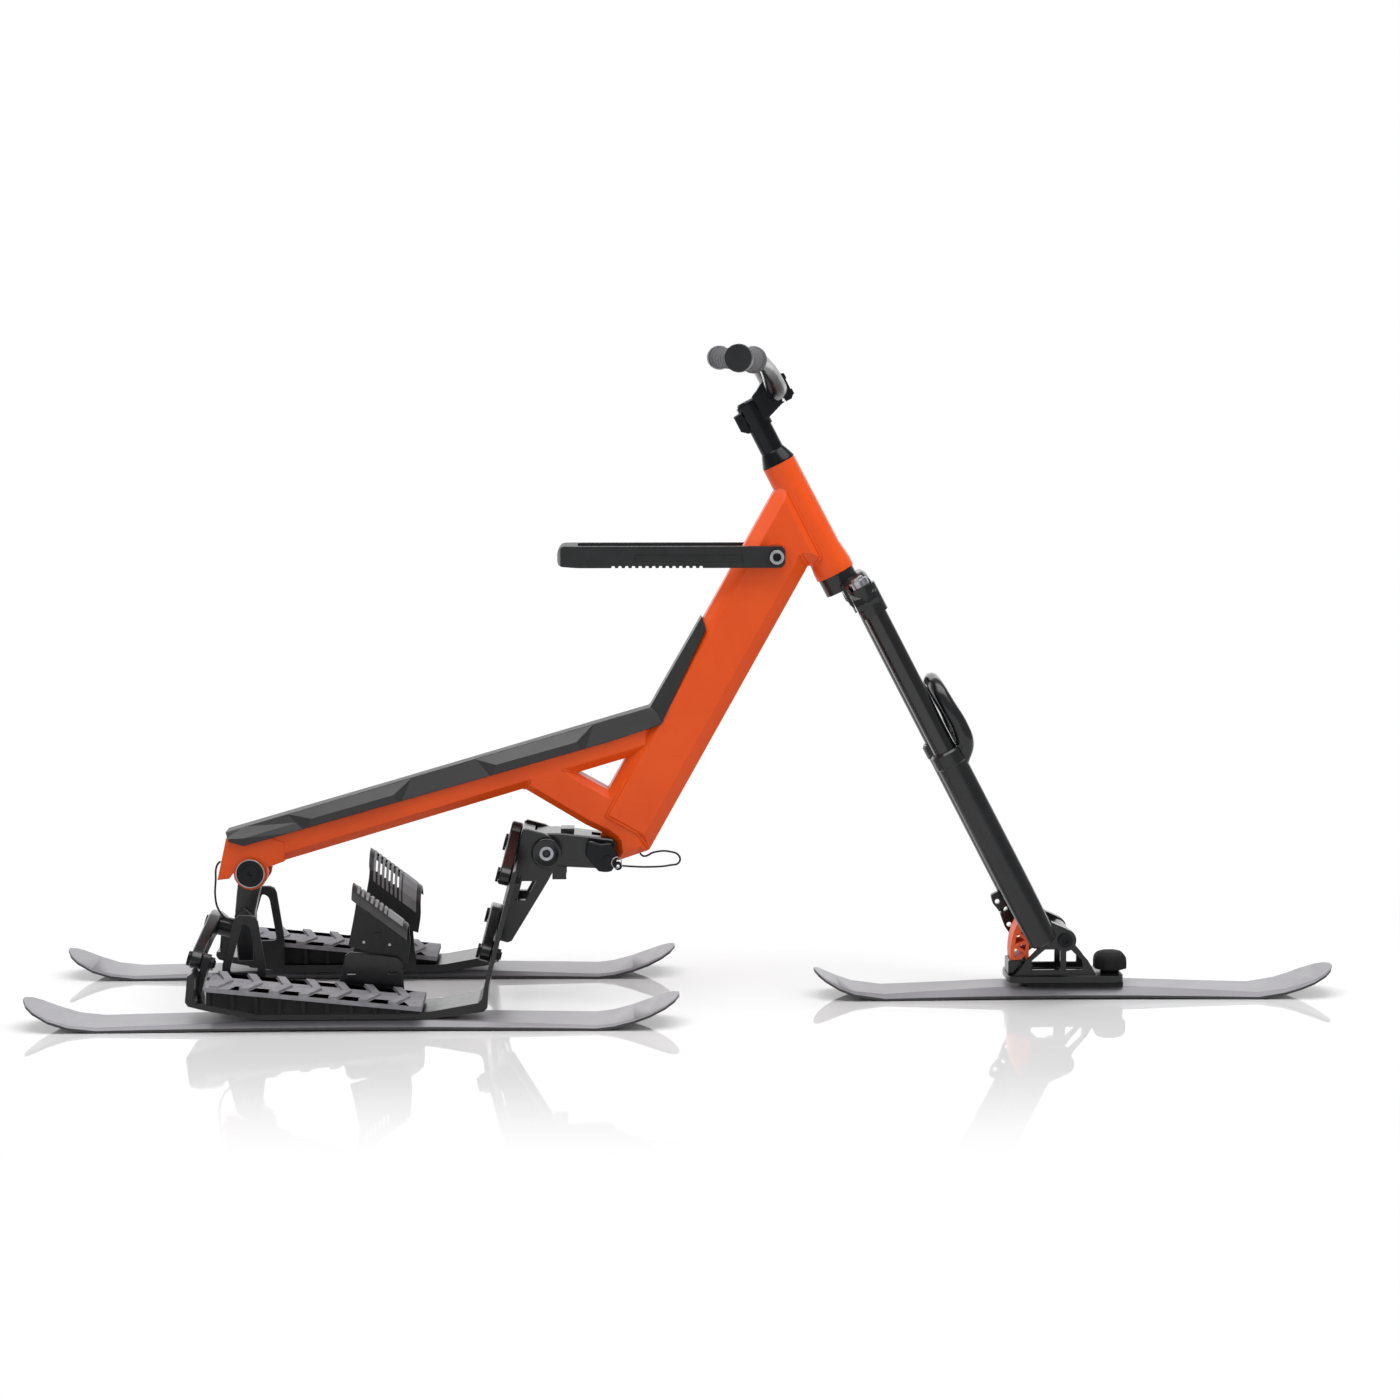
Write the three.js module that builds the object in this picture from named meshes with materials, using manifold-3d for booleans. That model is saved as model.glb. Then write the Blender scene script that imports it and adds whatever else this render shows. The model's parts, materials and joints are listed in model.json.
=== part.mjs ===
// Ski bike: a full suspension bicycle style frame carried on one steered front ski
// and on two rear skis that lean with the frame through three parallel cross links.
// Sizes are in millimetres. X points forward, Y to the rider's left and Z up.
// The snow is at Z = 0 and the part is centred on the middle plane.

import * as THREE from "three";
import { mergeVertices } from "three/addons/utils/BufferGeometryUtils.js";
import loadManifold from "manifold-3d";

const manifold = await loadManifold();
manifold.setup();
const { Manifold, Mesh: SolidMesh } = manifold;

const degrees = Math.PI / 180;

// Clearances and counts that many pieces share
const fitGap = 0.3;
const weldGap = 1e-4;
const cornerRoomShare = 0.49;
const leastMitreShare = 0.4;
const turnGap = 0.6;
const overrun = 4;
const roundSides = 16;
const smallSides = 8;
const gripSides = 12;
const hexSides = 6;

// Head tube and steering axis
const head = {
  x: 213.5,
  z: 645,
  lean: 27.5 * degrees,
  length: 185,
  lowerRadius: 30,
  upperRadius: 25.5,
  waistRadius: 26.5,
  boreRadius: 19,
  seatRadius: 23,
  seatDepth: 13,
  flareLength: 40,
};

// Frame tubes, drawn as chamfered prisms
const mainTube = {
  footX: -109,
  footZ: 253,
  joinHeight: 110,
  depth: 98,
  halfWidth: 33,
  chamfer: 19,
  sideChamfer: 15,
  gussetRise: 31,
  gussetReach: 2,
  shoulderDrop: 46,
};
const topTube = {
  rise: 16.6 * degrees,
  depth: 56,
  halfWidth: 30,
  chamfer: 12,
  lowerX: -630,
  lowerZ: 211,
  rearReach: 50,
};
const brace = {
  fromX: -253,
  toX: -161,
  toZ: 268,
  windowX: -171,
  windowDrop: 3,
  tipX: -128,
  tipZ: 321,
  halfWidth: 30,
  chamfer: 10,
};
const lug = {
  midX: -132,
  midZ: 254,
  lowX: -118,
  lowZ: 243,
  cutX: -114,
  cutZ: 213,
  frontX: -67,
  frontZ: 229,
};
const tongue = { halfWidth: 13, radius: 17 };

// Places of the three cross pivots of the chassis
const rearPivot = { x: -663, z: 199 };
const hub = { x: -220, z: 230 };
const lockPlace = { x: -132, z: 225 };

const clevis = {
  radius: 26,
  halfWidth: 31,
  slotHalfWidth: 17,
  edge: 1,
  tabTopX: -699,
  tabTopZ: 251,
  tabLowX: -713,
  tabLowZ: 188,
  tabInX: -695,
  tabInZ: 190,
  webX: -640,
  webZ: 206,
};

const pad = {
  halfWidth: 38,
  chamfer: 15,
  sideChamfer: 17,
  rearX: -701,
  rearTopZ: 259,
  rearLowX: -673,
  rearLowZ: 237,
  lowX: -123,
  lowZ: 393,
  topX: -140,
  topZ: 423,
  bendX: -66,
  bendZ: 445,
  proud: 4,
  tongueInset: 24,
  tongueTip: 334,
  lowBend: 176,
};

// Headset, stem and handlebar, measured along the steering axis from the head tube's foot
const bearing = { height: 8, outerRadius: 22.7, boreRadius: 15 };
const steerer = { radius: 14.3, boreRadius: 11.5 };
const coneCover = { height: 17, radius: 25.5, collarRadius: 17.5, lift: 1.6, reach: 57.4 };
const stem = {
  height: 40,
  radius: 20,
  reach: 45,
  rise: 19,
  barRadius: 21.5,
  faceReach: 20,
  faceCorner: 5,
  width: 47,
  bodyWidth: 34,
  pinchReach: 29,
  pinchWidth: 23,
  pinchTop: 8,
  slot: 2,
  split: 1.5,
};
const clampBolt = { headRadius: 4.6, headHeight: 4, hexRadius: 2.3, hexDepth: 2.5, faceShare: 0.8 };
const pinchBolt = { radius: 4.2, headHeight: 4, pitch: 17 };
const topCap = { radius: 17.5, height: 4.5, screwRadius: 4.6, hexRadius: 2.8, hexDepth: 2.5 };
const bar = {
  centreRadius: 15.9,
  endRadius: 11.1,
  halfLength: 385,
  straight: 48,
  bendEnd: 150,
  rise: 48,
  sweep: 9.7 * degrees,
  upsweep: 6.5 * degrees,
  plugLength: 3,
  steps: 26,
};
const grip = { length: 132, radius: 16.6, flangeRadius: 19, flangeLength: 8, collarLength: 12, ribs: 6, ribDepth: 1.1 };

// Fork, in the same steering axis frame
const fork = {
  legOffset: 22,
  halfSpread: 65,
  stanchionRadius: 17.5,
  travel: 100,
  bottomGap: 7,
};
const crown = {
  neckRadius: 28,
  neckLow: -27,
  top: -13,
  bottom: -37,
  socketTop: -30,
  socketBottom: -75,
  socketRadius: 21.3,
  bridgeBack: -4,
  bridgeFront: 39,
  chamfer: 4,
  corner: 10,
  shoulder: 12,
};
const crownCap = { radius: 14.5, height: 15, teeth: 12, toothDepth: 1, stepRadius: 9, stepHeight: 4 };
const lowers = {
  top: -305,
  collarRadius: 24.6,
  collarLength: 24,
  collarStep: 2,
  collarEdge: 3,
  radius: 23,
  footRadius: 21,
  footEdge: 3,
  footTaper: 90,
  boreRadius: 18.4,
  endRise: 12.9,
  boreFloor: 27,
  lugHalfWidth: 9,
  lugRadius: 17,
  archTop: -202,
  archBack: 43,
  archFront: 68,
  archHalfSpan: 78,
  archBand: 17,
  archCrown: 60,
  archFoot: -328,
};
const footPivot = { offset: 51.6, z: 95, axleRadius: 7.5, headRadius: 11, headHeight: 5, hexRadius: 4, hexDepth: 3 };
const tab = {
  thickness: 10,
  upperLength: 27,
  lowerLength: 44,
  upperRise: 47,
  lowerRise: -2,
  reach: 15,
  edge: 3,
  window: 4,
  rodRadius: 2.5,
  boltRadius: 5,
};

// Front ski and the sprung foot it is bolted to, placed forward of the foot pivot
const frontSki = {
  tailX: -374,
  length: 791.5,
  tailWidth: 96,
  waistWidth: 84,
  noseWidth: 106,
  tipThickness: 5,
  waistThickness: 15,
  camber: 3,
  tailRise: 38,
  noseRise: 40,
  tailCurve: 105,
  noseCurve: 120,
  seatHalfLength: 100,
};
const foot = {
  backX: -82,
  frontX: 94,
  padBackX: -56,
  padHeight: 6.7,
  padInset: 2,
  padCorner: 8,
  baseHeight: 10,
  halfWidth: 40,
  corner: 12,
  trussInner: 27,
  trussWall: 6,
  trussBackX: -74,
  trussFrontX: 54,
  kneeBackX: -55,
  kneeFrontX: 40,
  kneeZ: 58,
  shoulderBackX: -35,
  shoulderFrontX: 22,
  shoulderZ: 79,
  hubRadius: 15,
  strut: 9,
  post: 9,
  postForward: 2,
  sink: 2,
};
const holder = {
  length: 37,
  height: 21.5,
  halfWidth: 22,
  inset: 2,
  edge: 2,
  boltRadius: 5,
  boltHead: 2.5,
  slopeShare: 0.6,
};
const bumper = { x: 78, radius: 24, stemRadius: 15, stemHeight: 6, capHeight: 25 };
const elastomer = {
  centreForward: 22,
  centreDrop: 25,
  outerRadius: 98.5,
  innerRadius: 71,
  outerBand: 6,
  innerBand: 5,
  halfWidth: 20,
  fromAngle: 139 * degrees,
  toAngle: 196 * degrees,
  cells: 4,
  web: 4.5,
};

// Rear skis and the lean linkage
const halfStance = 177;
const rearSki = {
  tailX: -975.5,
  length: 951,
  tailWidth: 100,
  waistWidth: 90,
  noseWidth: 110,
  tipThickness: 5,
  waistThickness: 11,
  camber: 3,
  tailRise: 38,
  noseRise: 40,
  tailCurve: 110,
  noseCurve: 120,
  seatHalfLength: 130,
};

// Shares and bends that shape both kinds of ski
const skiForm = {
  rimShare: 0.8,
  bevelShare: 1.4,
  insetShare: 0.3,
  thinShare: 0.8,
  waistShare: 0.45,
  tailBend: 2,
  noseBend: 1.6,
  roundBend: 2.4,
  tipWidthShare: 0.02,
};

// The three cross links and the axes they lean about
const lean = {
  tilt: 14.5 * degrees,
  crank: 137,
  chevron: 28,
  frontLowX: -301,
  frontLowZ: 125,
  spacing: 117,
  rearX: -724,
  rearZ: 116,
};
const link = {
  halfThickness: 8.5,
  hubRadius: 18,
  tallTop: 32,
  endRadius: 15,
  armHalfHeight: 10,
  corner: 4,
  edge: 2,
  pocketDepth: 3,
};
const pin = {
  radius: 6,
  headRadius: 11,
  headHeight: 4,
  nutRadius: 10,
  nutHeight: 8,
  nutInset: 2,
  pocketGap: 2,
  hexRadius: 4,
  hexDepth: 2.5,
};
const knuckle = {
  cheekInner: 35,
  cheekWall: 11,
  hubRadius: 22,
  slab: 18,
  nutRecess: 9,
  low: -25,
  high: 150,
  footFront: 24,
  waistX: -218,
  waistZ: 187,
  corner: 4,
  edge: 1.5,
  windowTopZ: 187,
  windowLowZ: 158,
  windowBackTopX: -262,
  windowFrontTopX: -236,
  windowFrontLowX: -252,
  windowBackLowX: -268,
  recess: 5,
  hubShares: [[0.96, -0.3], [0.9, 0.5], [0, 1.3]],
};
const arm = {
  halfWidth: 34,
  hubRadius: 21.5,
  pinRadius: 22,
  corner: 6,
  edge: 2,
  wall: 8,
  plateHeight: 6,
  lugBackX: -212,
  lugFrontX: -191,
  lugLowZ: 187,
  tabBackX: -199,
  tabFrontX: -179,
  tabRise: 4,
  tabHalfWidth: 16,
};
const rearPost = {
  eyeRadius: 21,
  eyeHalfWidth: 16,
  halfWidth: 22,
  neckX: -652,
  neckZ: 171,
  waistX: -661,
  waistZ: 132,
  lowZ: 62,
  thickness: 29,
  taper: 4,
  shoulder: 14,
  corner: 5,
  edge: 2,
  bossRadius: 15,
};
const hubAxle = { radius: 9, capRadius: 19, capHeight: 5, ringRadius: 10, ringHeight: 3, hexRadius: 4, hexDepth: 3 };
const rearAxle = { radius: 9, capRadius: 20.5, capHeight: 6, ringRadius: 13, ringHeight: 2, hexRadius: 4, hexDepth: 4 };
const lockPin = {
  radius: 7,
  tip: 42,
  collarRadius: 12,
  handleHalf: 25,
  handleThick: 9,
  handleEdge: 1.5,
  stand: 50,
  ringRadius: 6,
  ringHeight: 3,
  eyeletRadius: 6,
  eyeletBore: 2.5,
  reach: 70,
};

const cradle = {
  wall: 11,
  inner: 122,
  outer: 208,
  corner: 5,
  floorBackX: -631,
  floorFrontX: -387,
  uprightWall: 6.5,
  uprightFoot: 69,
  uprightSplay: 7,
  lipX: -708,
  lipRise: 14,
  heelX: -739,
  heelRise: 22,
  lipTopX: -734,
  lipTop: 70,
  lipDrop: 3,
  lipInner: 160,
  uprightTop: 24,
  bossRadius: 13,
  lugInner: 122,
  lugOuter: 158,
  lugWall: 11,
  windowSide: 24,
  windowEnd: 14,
  windowCorner: 8,
};
const deck = {
  backX: -708,
  frontX: -396,
  inner: 127,
  outer: 229,
  backZ: 72,
  frontZ: 41,
  edge: 3,
  tread: 7,
  ridge: 4,
  ridgeWidth: 13,
  ridges: 7,
  ridgeSweep: 16,
  ridgeMargin: 20,
  ridgeInset: 1,
  ribPitch: 34,
  ribWidth: 6,
  ribDepth: 4,
};
const guard = {
  backX: -697,
  frontX: -632,
  topBackX: -676,
  topFrontX: -643,
  topZ: 152,
  lowZ: 18,
  corner: 6,
  band: 11,
  thickness: 6,
  edge: 1.2,
};
const bracket = {
  backX: -532,
  frontX: -427,
  topBackX: -514,
  topFrontX: -433,
  topBackZ: 97,
  topFrontZ: 88,
  lowBackZ: 17,
  lowFrontZ: 17,
  thickness: 5,
  corner: 6,
  edge: 1,
  slotLength: 13,
  slotWidth: 5,
  slotShares: [0.18, 0.76],
  boltRadius: 4.5,
  boltHead: 2.5,
  rowHighZ: 78,
  rowLowZ: 65,
  highBoltShares: [0.4, 0.7],
  lowBoltShares: [0.54],
};
const hook = {
  wall: 4,
  backX: -511,
  backTopX: -499,
  frontX: -424,
  frontTopX: -420,
  backTopZ: 205,
  backLowZ: 104,
  frontTopZ: 144,
  frontLowZ: 78,
  bendRadius: 40,
  bendSweep: 146 * degrees,
  bendSteps: 6,
  slots: 6,
  slotWidth: 3,
  slotPitch: 6.5,
  slotMargin: 10,
  slotHeight: 24,
  bossSize: 9,
  bossDepth: 2.5,
  boltRadius: 3.5,
};

// Lift loop pivoted on the main tube
const loop = {
  x: 123,
  z: 672,
  length: 325,
  height: 32,
  halfInner: 38,
  wall: 12,
  endWall: 30,
  endRadius: 20,
  edge: 2,
  noseCorner: 7,
  noseStep: 6,
  teeth: 14,
  toothPitch: 10,
  toothDepth: 3,
  teethFrom: 109,
  recessFrom: 50,
  recessLength: 160,
  recessHeight: 13,
  recessDrop: 2,
  recessDepth: 2,
  recessCorner: 4,
  bossRadius: 20,
  toothShares: [0, 0.6, 0.5, 0.1],
};
const loopAxle = { radius: 8, headRadius: 12, ringRadius: 10, headHeight: 5, hexRadius: 4.5, hexDepth: 4 };

// Wire lanyards: points chosen by hand along each free stretch
const wire = { diameter: 3, sides: 8, steps: 20 };
const frontLanyardPoints = [
  [-80, -22, 224],
  [-75, -27, 221],
  [-58, -38, 229],
  [-36, -46, 231],
  [-22, -50, 225],
  [-22, -53, 216],
  [-36, -56, 212],
  [-66, -58, 210],
  [-94, -56, 210.5],
  [-106.9, -54.5, 211.2],
];
const rearLanyardPoints = [
  [-708.3, -26, 216],
  [-713, -28, 211],
  [-715.5, -31, 187],
  [-716, -33, 161],
  [-712, -34, 145],
  [-701, -33, 130],
  [-689, -31.5, 121],
  [-679, -25.5, 117],
];

const wireRadius = wire.diameter / 2;

// Finishes
const finishes = {
  orange: { color: 0xd85a28, roughness: 0.45, metalness: 0.2 },
  pad: { color: 0x3a3b3d, roughness: 0.8, metalness: 0 },
  black: { color: 0x1b1c1e, roughness: 0.5, metalness: 0.3 },
  gloss: { color: 0x0c0d0e, roughness: 0.15, metalness: 0.4 },
  rubber: { color: 0x232426, roughness: 0.9, metalness: 0 },
  tread: { color: 0x85878a, roughness: 0.85, metalness: 0 },
  ski: { color: 0xc9c8c6, roughness: 0.4, metalness: 0.1 },
  elastic: { color: 0xf06a1e, roughness: 0.6, metalness: 0 },
  steel: { color: 0xb9bcc0, roughness: 0.3, metalness: 1 },
  grey: { color: 0x8d9094, roughness: 0.5, metalness: 0.6 },
};

// Turning three.js geometry into solids and back

function solidFrom(positions, corners) {
  return new Manifold(new SolidMesh({
    numProp: 3,
    vertProperties: new Float32Array(positions),
    triVerts: new Uint32Array(corners),
  }));
}

function toSolid(geometry) {
  const bare = new THREE.BufferGeometry();
  bare.setAttribute("position", geometry.getAttribute("position").clone());
  if (geometry.index) {
    bare.setIndex(geometry.index.clone());
  }
  const merged = mergeVertices(bare, weldGap);
  const corners = merged.index.array;
  const kept = [];
  for (let i = 0; i < corners.length; i += 3) {
    const [a, b, c] = [corners[i], corners[i + 1], corners[i + 2]];
    if (a !== b && b !== c && c !== a) {
      kept.push(a, b, c);
    }
  }
  return solidFrom(merged.getAttribute("position").array, kept);
}

function toGeometry(solid) {
  const mesh = solid.simplify(fitGap / 10).getMesh();
  const geometry = new THREE.BufferGeometry();
  geometry.setAttribute("position", new THREE.BufferAttribute(new Float32Array(mesh.vertProperties), 3));
  geometry.setIndex(new THREE.BufferAttribute(new Uint32Array(mesh.triVerts), 1));
  geometry.computeVertexNormals();
  return geometry;
}

function join(...solids) {
  return Manifold.union(solids);
}

function cut(solid, ...tools) {
  return Manifold.difference([solid, ...tools]);
}

// Basic shapes

// A closed outline through points, with its corners rounded where a radius is given.
function outline(points, radius = 0) {
  const shape = new THREE.Shape();
  const count = points.length;
  const pen = new THREE.Vector2(Infinity, Infinity);
  const drawTo = (point) => {
    if (pen.distanceTo(point) > fitGap / 10) {
      Number.isFinite(pen.x) ? shape.lineTo(point.x, point.y) : shape.moveTo(point.x, point.y);
      pen.copy(point);
    }
  };
  points.forEach((point, index) => {
    const corner = new THREE.Vector2(...point);
    const before = new THREE.Vector2(...points[(index + count - 1) % count]);
    const after = new THREE.Vector2(...points[(index + 1) % count]);
    const room = cornerRoomShare * Math.min(corner.distanceTo(before), corner.distanceTo(after));
    const reach = Math.min(radius, room);
    if (reach < fitGap) {
      drawTo(corner);
      return;
    }
    drawTo(corner.clone().lerp(before, reach / corner.distanceTo(before)));
    const end = corner.clone().lerp(after, reach / corner.distanceTo(after));
    shape.quadraticCurveTo(corner.x, corner.y, end.x, end.y);
    pen.copy(end);
  });
  shape.closePath();
  return shape;
}

// A prism standing on the XY plane from low to high along Z.
function upright(shape, low, high, curveSegments = 2) {
  const geometry = new THREE.ExtrudeGeometry(shape, { depth: high - low, bevelEnabled: false, curveSegments });
  return toSolid(geometry.translate(0, 0, low));
}

// A contour moved outward by a distance, keeping its number of points.
function moved(contour, distance) {
  const count = contour.length;
  return contour.map((point, index) => {
    const before = contour[(index + count - 1) % count];
    const after = contour[(index + 1) % count];
    const first = new THREE.Vector2(point.y - before.y, before.x - point.x).normalize();
    const second = new THREE.Vector2(after.y - point.y, point.x - after.x).normalize();
    const mitre = Math.max(1 + first.dot(second), leastMitreShare);
    return point.clone().add(first.add(second).multiplyScalar(distance / mitre));
  });
}

// A prism on the XY plane, centred on Z, whose edges may be chamfered and which may be grown all round.
function chamferedPrism(shape, width, options = {}) {
  const { chamfer = 0, sideChamfer = chamfer, grow = 0, curveSegments = 2 } = options;
  const drawn = shape.getPoints(curveSegments);
  const contour = drawn.filter((point, index) => {
    const next = drawn[(index + 1) % drawn.length];
    return point.distanceTo(next) > fitGap / 10;
  });
  if (THREE.ShapeUtils.isClockWise(contour)) {
    contour.reverse();
  }
  const half = width / 2 + grow;
  const outer = grow > 0 ? moved(contour, grow) : contour;
  const layers = chamfer > 0
    ? [[moved(outer, -chamfer), -half], [outer, sideChamfer - half], [outer, half - sideChamfer], [moved(outer, -chamfer), half]]
    : [[outer, -half], [outer, half]];
  const positions = [];
  const corners = [];
  const size = contour.length;
  for (const [points, height] of layers) {
    points.forEach((point) => positions.push(point.x, point.y, height));
  }
  for (let i = 0; i + 1 < layers.length; i += 1) {
    for (let j = 0; j < size; j += 1) {
      const a = i * size + j;
      const b = i * size + (j + 1) % size;
      corners.push(a, b, b + size, a, b + size, a + size);
    }
  }
  const last = (layers.length - 1) * size;
  for (const [a, b, c] of THREE.ShapeUtils.triangulateShape(contour, [])) {
    corners.push(a, c, b, a + last, b + last, c + last);
  }
  return solidFrom(positions, corners);
}

// A prism whose outline lies in the side view (X, Z) and which reaches from one Y to another.
function sidePrism(shape, fromY, toY, options = {}) {
  return chamferedPrism(shape, toY - fromY, options).rotate([90, 0, 0]).translate([0, (fromY + toY) / 2, 0]);
}

// A prism whose outline lies in the front view (Y, Z) and which reaches from one X to another.
function frontPrism(shape, fromX, toX, options = {}) {
  return chamferedPrism(shape, toX - fromX, options).rotate([90, 0, 90]).translate([(fromX + toX) / 2, 0, 0]);
}

function block(lowX, highX, lowY, highY, lowZ, highZ) {
  const geometry = new THREE.BoxGeometry(highX - lowX, highY - lowY, highZ - lowZ);
  return toSolid(geometry.translate((lowX + highX) / 2, (lowY + highY) / 2, (lowZ + highZ) / 2));
}

function rodAlongY(x, z, radius, fromY, toY, sides = roundSides) {
  const geometry = new THREE.CylinderGeometry(radius, radius, toY - fromY, sides);
  return toSolid(geometry.translate(x, (fromY + toY) / 2, z));
}

function rodAlongZ(x, y, radius, fromZ, toZ, sides = roundSides, topRadius = radius) {
  const geometry = new THREE.CylinderGeometry(topRadius, radius, toZ - fromZ, sides);
  return toSolid(geometry.rotateX(Math.PI / 2).translate(x, y, (fromZ + toZ) / 2));
}

function rodAlongX(y, z, radius, fromX, toX, sides = roundSides) {
  const geometry = new THREE.CylinderGeometry(radius, radius, toX - fromX, sides);
  return toSolid(geometry.rotateZ(Math.PI / 2).translate((fromX + toX) / 2, y, z));
}

// A turned piece about Z from a profile of [radius, height] pairs that starts and ends on the axis.
function turned(profile, sides = roundSides) {
  const points = profile.map(([radius, height]) => new THREE.Vector2(radius, height));
  return toSolid(new THREE.LatheGeometry(points, sides).rotateX(Math.PI / 2));
}

function mirrored(solid) {
  return solid.mirror([0, 1, 0]);
}

// A ring of points at each station, joined into a closed body. The end faces follow the given corner triples.
function loft(rings, ends = fanOf(rings[0].length)) {
  const positions = [];
  const index = [];
  const size = rings[0].length;
  rings.forEach((ring) => ring.forEach((point) => positions.push(...point)));
  for (let i = 0; i + 1 < rings.length; i += 1) {
    for (let j = 0; j < size; j += 1) {
      const a = i * size + j;
      const b = i * size + (j + 1) % size;
      index.push(a, b, a + size, b, b + size, a + size);
    }
  }
  const last = (rings.length - 1) * size;
  for (const [a, b, c] of ends) {
    index.push(a, c, b, last + a, last + b, last + c);
  }
  return solidFrom(positions, index);
}

// A round bar along a curve, its radius given at each share of the way.
function sweptRod(curve, radiusAt, steps, sides) {
  const rings = [];
  for (let i = 0; i <= steps; i += 1) {
    const share = i / steps;
    const centre = curve.getPointAt(share);
    const tangent = curve.getTangentAt(share);
    const guide = Math.abs(tangent.z) < 0.9 ? new THREE.Vector3(0, 0, 1) : new THREE.Vector3(1, 0, 0);
    const across = new THREE.Vector3().crossVectors(tangent, guide).normalize();
    const over = new THREE.Vector3().crossVectors(across, tangent).normalize();
    const ring = [];
    for (let j = 0; j < sides; j += 1) {
      const angle = -(2 * Math.PI * j) / sides;
      const point = centre.clone();
      point.addScaledVector(across, radiusAt(share) * Math.cos(angle));
      point.addScaledVector(over, radiusAt(share) * Math.sin(angle));
      ring.push(point.toArray());
    }
    rings.push(ring);
  }
  return loft(rings);
}

// Corner triples that fill a ring with a fan from its first point.
function fanOf(size) {
  return Array.from({ length: size - 2 }, (unused, index) => [0, index + 1, index + 2]);
}

// A flat plate with rounded corners, centred on the middle plane
function roundedPlate(backX, frontX, halfWidth, corner, low, high) {
  const shape = outline([[backX, -halfWidth], [frontX, -halfWidth], [frontX, halfWidth], [backX, halfWidth]], corner);
  return upright(shape, low, high);
}

// Frames of reference

// A point of the side view given along and across the steering axis.
function headPoint(across, along) {
  return [
    head.x + across * Math.cos(head.lean) - along * Math.sin(head.lean),
    head.z + across * Math.sin(head.lean) + along * Math.cos(head.lean),
  ];
}

// A solid of the steering frame brought into the whole part's frame.
function fromHead(solid) {
  return solid.rotate([0, -head.lean / degrees, 0]).translate([head.x, 0, head.z]);
}

// A point of the side view given along the lean axis and up from it.
function leanPoint(originX, originZ, along, up) {
  return [
    originX + along * Math.cos(lean.tilt) + up * Math.sin(lean.tilt),
    originZ - along * Math.sin(lean.tilt) + up * Math.cos(lean.tilt),
  ];
}

function fromLean(solid, originX, originZ) {
  return solid.rotate([0, lean.tilt / degrees, 0]).translate([originX, 0, originZ]);
}

const [frontHighX, frontHighZ] = leanPoint(lean.frontLowX, lean.frontLowZ, 0, lean.spacing);

// Main frame

const [joinX, joinZ] = headPoint(0, mainTube.joinHeight);
const tubeLength = Math.hypot(joinX - mainTube.footX, joinZ - mainTube.footZ);
const tubeDirection = [(joinX - mainTube.footX) / tubeLength, (joinZ - mainTube.footZ) / tubeLength];

// A point of the main tube given up its length and forward of its centre line.
function tubePoint(along, forward) {
  return [
    mainTube.footX + along * tubeDirection[0] + forward * tubeDirection[1],
    mainTube.footZ + along * tubeDirection[1] - forward * tubeDirection[0],
  ];
}

function topTubeLowZ(x) {
  return topTube.lowerZ + (x - topTube.lowerX) * Math.tan(topTube.rise);
}

function mainTubeOutline() {
  const half = mainTube.depth / 2;
  return outline([
    tubePoint(0, -half),
    tubePoint(0, half),
    tubePoint(tubeLength - mainTube.shoulderDrop - mainTube.gussetRise, half),
    headPoint(-head.lowerRadius - mainTube.gussetReach, mainTube.gussetRise),
    headPoint(0, mainTube.gussetRise / 2),
    headPoint(0, mainTube.joinHeight + mainTube.shoulderDrop),
    tubePoint(tubeLength, -half),
  ]);
}

function topTubeOutline() {
  const rearX = rearPivot.x + topTube.rearReach - topTube.depth / 2;
  const rise = topTube.depth / Math.cos(topTube.rise);
  const frontX = mainTube.footX + mainTube.depth / 2;
  return outline([
    [rearX, topTubeLowZ(rearX)],
    [frontX, topTubeLowZ(frontX)],
    [frontX, topTubeLowZ(frontX) + rise],
    [rearX, topTubeLowZ(rearX) + rise],
  ]);
}

function braceOutline() {
  return outline([
    [brace.fromX, topTubeLowZ(brace.fromX)],
    [brace.toX, brace.toZ],
    [lug.midX, lug.midZ],
    [lug.lowX, lug.lowZ],
    [lug.cutX, lug.cutZ],
    [lug.frontX, lug.frontZ],
    tubePoint(mainTube.depth / 2, 0),
    tubePoint(mainTube.depth, -mainTube.depth / 2 + brace.chamfer),
    [brace.tipX, brace.tipZ],
    [brace.windowX, topTubeLowZ(brace.windowX) - brace.windowDrop],
    [brace.fromX + topTube.depth, topTubeLowZ(brace.fromX + topTube.depth) + topTube.depth / 2],
    [brace.fromX, topTubeLowZ(brace.fromX) + topTube.depth / 2],
  ]);
}

function clevisOutline() {
  const rise = topTube.depth / Math.cos(topTube.rise);
  return outline([
    [clevis.tabTopX, clevis.tabTopZ],
    [clevis.tabLowX, clevis.tabLowZ],
    [clevis.tabInX, clevis.tabInZ],
    [rearPivot.x - clevis.radius, rearPivot.z],
    [rearPivot.x, rearPivot.z - clevis.radius / 2],
    [rearPivot.x + clevis.radius, rearPivot.z],
    [clevis.webX, clevis.webZ],
    [clevis.webX + topTube.depth / 2, topTubeLowZ(clevis.webX + topTube.depth / 2)],
    [clevis.webX + topTube.depth / 2, topTubeLowZ(clevis.webX + topTube.depth / 2) + rise / 2],
    [clevis.webX, topTubeLowZ(clevis.webX) + rise - topTube.chamfer],
  ]);
}

// The tubes alone, made larger all round when a neighbour is cut to fit them.
function frameTubes(grow = 0) {
  const options = (size) => ({ chamfer: size.chamfer, sideChamfer: size.sideChamfer ?? size.chamfer, grow });
  return join(
    sidePrism(mainTubeOutline(), -mainTube.halfWidth, mainTube.halfWidth, options(mainTube)),
    sidePrism(topTubeOutline(), -topTube.halfWidth, topTube.halfWidth, options(topTube)),
    sidePrism(braceOutline(), -brace.halfWidth, brace.halfWidth, options(brace)),
  );
}

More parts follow.
